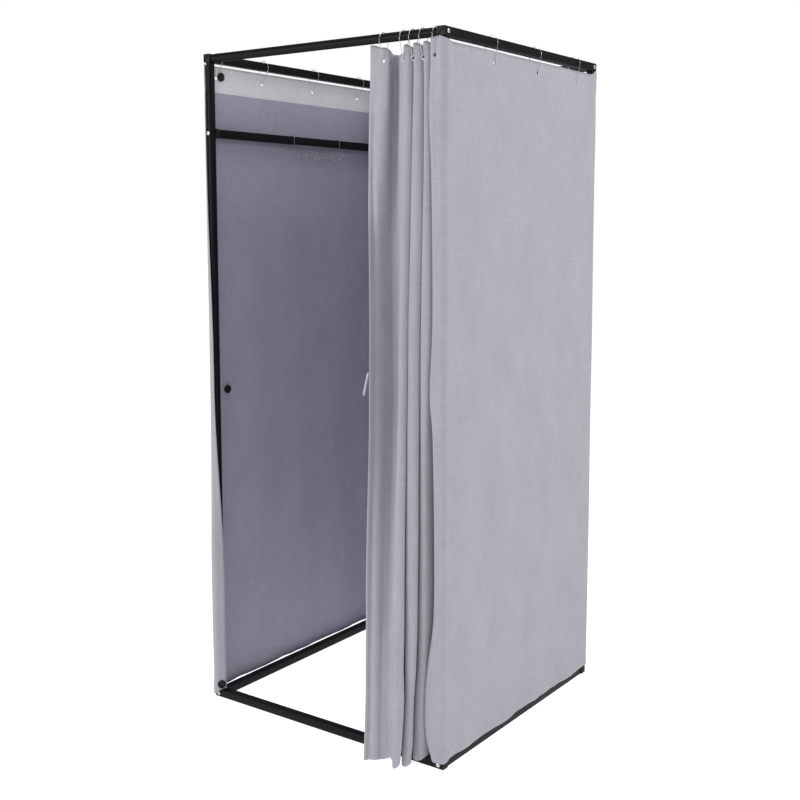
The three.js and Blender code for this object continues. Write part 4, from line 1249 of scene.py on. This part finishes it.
def curtain_row(share):
    """The curtain's plan at a share of its drop: x, how far out, top edge and lower edge at each point."""
    at = lambda values: read(CURTAIN_SHARES, values, share)
    free = between(0.03, 0.13, share)
    slant = between(0.05, 0.3, share)
    lead, foot, depth = at(LEAD), at(VALLEY), at(VALLEY_DEPTH)
    reach = LEAD_REACH * share
    turn, back = mix(0.178, mix(lead, foot, 0.76), slant), mix(0.0045, 0.76 * depth, slant)
    spots = []
    for part, out, top, low in ((0, -0.001, 1.9725, 0.004), (0.1, 0.0016 * free, 1.972, 0.005),
                                (0.25, -0.0032 * free, 1.971, 0.0065), (0.38, -0.0005, 1.969, 0.008),
                                (0.57, 0.0045 * free, 1.9645, 0.0095), (0.88, 0.0035 * free + 0.001, 1.962, 0.0115),
                                (1, 0, 1.9575, 0.012)):
        spots.append((mix(lead, turn, part), reach - part * back * mix(part ** 4, 1, slant) + out, top, low))
    left, front = at(FOLDS[0][0]), FOLD_REACHES[0] * share
    spots += [(mix(turn, foot, 0.6), reach - mix(back, depth, 0.6), 1.9505, 0.013), (foot, reach - depth, 1.9475, 0.015),
              (foot - 0.009, reach - depth - 0.003, 1.946, 0.019),
              (mix(foot, left, 0.62), mix(reach - depth, front, 0.42), 1.943, 0.025)]
    for i, (lefts, rights) in enumerate(FOLDS):
        left, right, front = at(lefts), at(rights), FOLD_REACHES[i] * share
        wide, deep = left - right, at(FOLD_DEPTH)
        side = min(0.009, 0.35 * deep)
        high = (1.9655, 1.967, 1.9685)[i]
        low = (0.003, 0.003, 0.014)[i]
        rise = (0.012, 0.011, 0.01)[i]
        spots += [(left, front - side, high - 0.014, low + rise),
                  (left - 0.1 * wide, front - 0.0022, high - 0.003, low + rise * 0.35),
                  (left - 0.42 * wide, front, high, low),
                  (left - 0.8 * wide, front - 0.0035, high - 0.004, low + rise * 0.4),
                  (right, front - side - 0.003, high - 0.01, low + rise)]
        if i == 2:
            break
        after, out = at(FOLDS[i + 1][0]), FOLD_REACHES[i + 1] * share
        back = max((right + after) / 2, after + 0.005)
        bottom = out - deep
        spots += [(max(right, after + 0.005), min(out + 0.006, front - 0.02), high - 0.013, 0.028),
                  (back + 0.0055, bottom + min(0.012, 0.4 * deep), high - 0.016, 0.028),
                  (back, bottom, high - 0.018, 0.028),
                  (back - 0.0055, bottom + min(0.012, 0.4 * deep), high - 0.016, 0.028)]
    back = max(0.021, right - 0.008)
    spots += [(back + 0.003, -0.03 + 0.01 * share, 1.955, 0.028), (back, -0.052 + 0.02 * share, 1.952, 0.028),
              (back - 0.007, -0.045 + 0.02 * share, 1.953, 0.028), (back - 0.008, -0.012, 1.96, 0.028),
              (0.0165, 0.0035, 1.964, 0.028), (0.0145, 0.0056, 1.966, 0.028)]
    return spots


class ROOM_OT_curtain(Operator):
    """Make the gathered front curtain"""

    bl_idname = "room.curtain"
    bl_label = "Front curtain"

    def execute(self, context):
        settings = context.scene.room_cloth

        def control(share):
            return [(LINE_X - place, FRONT_Y - out, top, low) for place, out, top, low in curtain_row(share)]

        def ripple(run_share, share, from_top):
            u = run_share * 0.8
            soft = noise.noise(Vector((u * 9, from_top * 1.6, 21.0))) * 0.0012
            fine = noise.noise(Vector((u * 30, from_top * 7, 23.0))) * 0.0004
            hem = math.exp(-((u - 0.021) / 0.007) ** 2)
            pucker = noise.noise(Vector((u * 40, from_top * 34, 29.0))) * 0.0022 * hem
            skirt = noise.noise(Vector((u * 45, from_top * 12, 31.0))) * 0.0022 * between(0.93, 1.0, share)
            return (soft + fine + skirt) * smooth(from_top / 0.12) + pucker

        obj, width, height = hang_cloth(control, ripple, 280, 0.005)
        nodes = ["curtain_ring_lead", "curtain_ring_second", "curtain_ring_third", "curtain_ring_fourth"]
        eyelets = [eyelet_at(node, context.scene.room_rings) for node in nodes]
        last = eyelet_at("wall_ring_return", context.scene.room_rings)
        eyelets.append((last[0] + Vector((0, 0.002, 0)), last[1]))
        piece = finish_cloth(obj, "front_curtain_cloth", width, height, settings, eyelets, None, "front_curtain")
        rims = eyelet_rims(context, "front_curtain_eyelets", eyelets[:4], None)
        for cloth in (piece, rims):
            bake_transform(cloth)
        return {"FINISHED"}


class ROOM_OT_buttons(Operator):
    """Make the round closing buttons on the left wall"""

    bl_idname = "room.buttons"
    bl_label = "Closing buttons"

    def execute(self, context):
        plastic = plastic_material(context)
        for spot, out in (("top", (1, 0, 0)), ("middle", (1, 0, 0)), ("bottom", (1, -1, 0))):
            node = f"closing_button_{spot}"
            low, high = Vector(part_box(node)[0]), Vector(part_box(node)[1])
            out = Vector(out).normalized()
            centre = (low + high) / 2
            if spot == "bottom":
                reach = (high.x - low.x) / math.sqrt(0.5) - 0.026
                centre = (low + high) / 2 + out * (reach / 2 - 0.003)
                face = centre + out * 0.003
            else:
                face = Vector((high.x, centre.y, centre.z))
            disc = cylinder(0.013, 0.0058, (0, 0, -0.0029), (0, 0, 1), 56)
            settle(disc)
            bpy.ops.object.mode_set(mode="EDIT")
            select_faces(disc, lambda c, n: n.z > 0.99)
            bpy.ops.mesh.bevel(offset=0.0016, segments=5, affect="EDGES")
            select_faces(disc, lambda c, n: n.z > 0.99)
            bpy.ops.mesh.inset(thickness=0.0016)
            bpy.ops.mesh.inset(thickness=0.003)
            bpy.ops.transform.translate(value=(0, 0, -0.0018))
            bpy.ops.mesh.inset(thickness=0.004)
            bpy.ops.transform.translate(value=(0, 0, -0.0004))
            select_faces(disc, lambda c, n: n.z < -0.99)
            bpy.ops.mesh.bevel(offset=0.0008, segments=3, affect="EDGES")
            bpy.ops.object.mode_set(mode="OBJECT")
            shank = cylinder(0.0025, 0.006, (0, 0, -0.0078), (0, 0, 1), 20)
            settle(shank)
            flange = cylinder(0.007, 0.0014, (0, 0, -0.0108), (0, 0, 1), 32)
            settle(flange)
            apply_modifier(flange, "BEVEL", width=0.0004, segments=3)
            piece = joined([disc, shank, flange])
            piece.rotation_euler = Vector((0, 0, 1)).rotation_difference(out).to_euler()
            piece.location = face
            settle(piece)
            smooth_piece(piece)
            place_piece(piece, f"{node}_moulded", [plastic], "frame", [node])
        return {"FINISHED"}


class ROOM_OT_closing_loop(Operator):
    """Make the loop of tape on the curtain's leading edge"""

    bl_idname = "room.closing_loop"
    bl_label = "Closing loop"

    def execute(self, context):
        length, depth, width, thickness = 0.066, 0.006, 0.005, 0.0012
        deselect()
        bpy.ops.mesh.primitive_circle_add(vertices=32, radius=depth / 2 - thickness / 2, fill_type="NOTHING",
                                          rotation=(math.pi / 2, 0, math.pi / 2))
        obj = active()
        settle(obj)
        straight = (length - depth) / 2
        for vertex in obj.data.vertices:
            vertex.co.z += math.copysign(straight, vertex.co.z) if abs(vertex.co.z) > 1e-6 else straight
        bpy.ops.object.mode_set(mode="EDIT")
        bpy.ops.mesh.select_mode(type="VERT")
        bpy.ops.mesh.select_all(action="SELECT")
        bpy.ops.mesh.extrude_region_move(TRANSFORM_OT_translate={"value": (width, 0, 0)})
        bpy.ops.mesh.select_all(action="SELECT")
        bpy.ops.mesh.normals_make_consistent(inside=False)
        bpy.ops.object.mode_set(mode="OBJECT")
        apply_modifier(obj, "SOLIDIFY", thickness=thickness, offset=0.0)
        apply_modifier(obj, "BEVEL", width=0.0003, segments=2)
        obj.location = (-width, 0, -length / 2)
        settle(obj)
        obj.rotation_euler = (0, math.radians(14), 0)
        low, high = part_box("closing_loop")
        obj.location = (high[0] - 0.0005, (low[1] + high[1]) / 2, high[2] - 0.0006)
        settle(obj)
        smooth_piece(obj, 40)
        tape = hard_material("White woven tape", context.scene.room_cloth.tape, 0.85, 0.0, 1800.0, 30.0, 0.0004, 0.08)
        place_piece(obj, "closing_loop_tape", [tape], "curtain", ["closing_loop"])
        return {"FINISHED"}


class ROOM_OT_stage(Operator):
    """Lay the floor, and set the light and the camera"""

    bl_idname = "room.stage"
    bl_label = "Stage"

    def execute(self, context):
        settings = context.scene.room_stage
        deselect()
        bpy.ops.mesh.primitive_plane_add(size=60, location=(0, 0, -0.0006))
        floor = active()
        floor.name = "floor"
        settle(floor)
        material, tree, shader = new_material("Pale floor", settings.floor, 0.9)
        shader.inputs["Specular IOR Level"].default_value = 0.1
        shader.inputs["Emission Color"].default_value = (1, 1, 1, 1)
        shader.inputs["Emission Strength"].default_value = settings.floor_glow
        lift = tree.nodes.new("ShaderNodeEmission")
        lift.inputs["Color"].default_value = (1, 1, 1, 1)
        lift.inputs["Strength"].default_value = settings.floor_lift
        seen = tree.nodes.new("ShaderNodeLightPath")
        share = tree.nodes.new("ShaderNodeMixShader")
        total = tree.nodes.new("ShaderNodeAddShader")
        tree.links.new(seen.outputs["Is Camera Ray"], share.inputs[0])
        tree.links.new(lift.outputs[0], share.inputs[2])
        tree.links.new(shader.outputs[0], total.inputs[0])
        tree.links.new(share.outputs[0], total.inputs[1])
        tree.links.new(total.outputs[0], tree.nodes["Material Output"].inputs["Surface"])
        floor.data.materials.append(material)
        world = context.scene.world or bpy.data.worlds.new("Studio")
        context.scene.world = world
        world.use_nodes = True
        tree = world.node_tree
        sky = tree.nodes["Background"]
        sky.inputs["Color"].default_value = (1, 1, 1, 1)
        sky.inputs["Strength"].default_value = settings.sky
        backdrop = tree.nodes.new("ShaderNodeBackground")
        backdrop.inputs["Color"].default_value = (1, 1, 1, 1)
        seen = tree.nodes.new("ShaderNodeLightPath")
        both = tree.nodes.new("ShaderNodeMixShader")
        tree.links.new(seen.outputs["Is Camera Ray"], both.inputs[0])
        tree.links.new(sky.outputs[0], both.inputs[1])
        tree.links.new(backdrop.outputs[0], both.inputs[2])
        tree.links.new(both.outputs[0], tree.nodes["World Output"].inputs["Surface"])
        middle_y = (FRONT_Y + BACK_Y) / 2
        for name, spot, aim, size, power in (
                ("side", (4.4, 1.2, 3.2), (0.3, -0.1, 1.0), 2.2, settings.side),
                ("front", (-2.2, -4.6, 2.3), (0.1, -0.3, 0.9), 2.2, settings.front),
                ("top", (0.3, -0.4, 4.6), (0, 0, 1.0), 2.4, settings.top)):
            deselect()
            bpy.ops.object.light_add(type="AREA", location=spot)
            light = active()
            light.name = name
            light.data.size = size
            light.data.energy = power
            light.rotation_euler = (Vector(aim) - Vector(spot)).to_track_quat("-Z", "Y").to_euler()
        deselect()
        x, y, z = settings.camera
        bpy.ops.object.camera_add(location=(x, y + middle_y, z),
                                  rotation=(math.pi / 2 - settings.tilt, 0, settings.turn))
        camera = active()
        camera.name = "camera"
        camera.data.sensor_width = 36
        camera.data.lens = settings.lens
        camera.data.shift_y = settings.shift
        context.scene.camera = camera
        context.scene.view_settings.view_transform = "Standard"
        return {"FINISHED"}


class ROOM_PT_sidebar(Panel):
    """Lists the pieces and their sizes"""

    bl_idname = "ROOM_PT_sidebar"
    bl_label = "Fitting room"
    bl_space_type = "VIEW_3D"
    bl_region_type = "UI"
    bl_category = "Fitting room"

    def draw(self, context):
        layout = self.layout
        for operator in OPERATORS:
            layout.operator(operator.bl_idname)
        for group in (context.scene.room_frame, context.scene.room_rings, context.scene.room_cloth,
                      context.scene.room_stage):
            box = layout.box()
            for name in group.__annotations__:
                box.prop(group, name)


SETTINGS = {"room_frame": FrameSettings, "room_rings": RingSettings, "room_cloth": ClothSettings,
            "room_stage": StageSettings}
OPERATORS = (ROOM_OT_stage, ROOM_OT_tubes, ROOM_OT_plugs, ROOM_OT_screws, ROOM_OT_saddles, ROOM_OT_rings,
             ROOM_OT_hook_rack, ROOM_OT_side_walls, ROOM_OT_back_wall, ROOM_OT_curtain, ROOM_OT_buttons,
             ROOM_OT_closing_loop)


def register():
    for settings in SETTINGS.values():
        bpy.utils.register_class(settings)
    for name, settings in SETTINGS.items():
        setattr(bpy.types.Scene, name, PointerProperty(type=settings))
    for operator in OPERATORS:
        bpy.utils.register_class(operator)
    bpy.utils.register_class(ROOM_PT_sidebar)


def unregister():
    bpy.utils.unregister_class(ROOM_PT_sidebar)
    for operator in reversed(OPERATORS):
        bpy.utils.unregister_class(operator)
    for name in SETTINGS:
        delattr(bpy.types.Scene, name)
    for settings in SETTINGS.values():
        bpy.utils.unregister_class(settings)


def main():
    register()
    for operator in OPERATORS:
        area, name = operator.bl_idname.split(".")
        getattr(getattr(bpy.ops, area), name)()


if __name__ == "__main__":
    main()
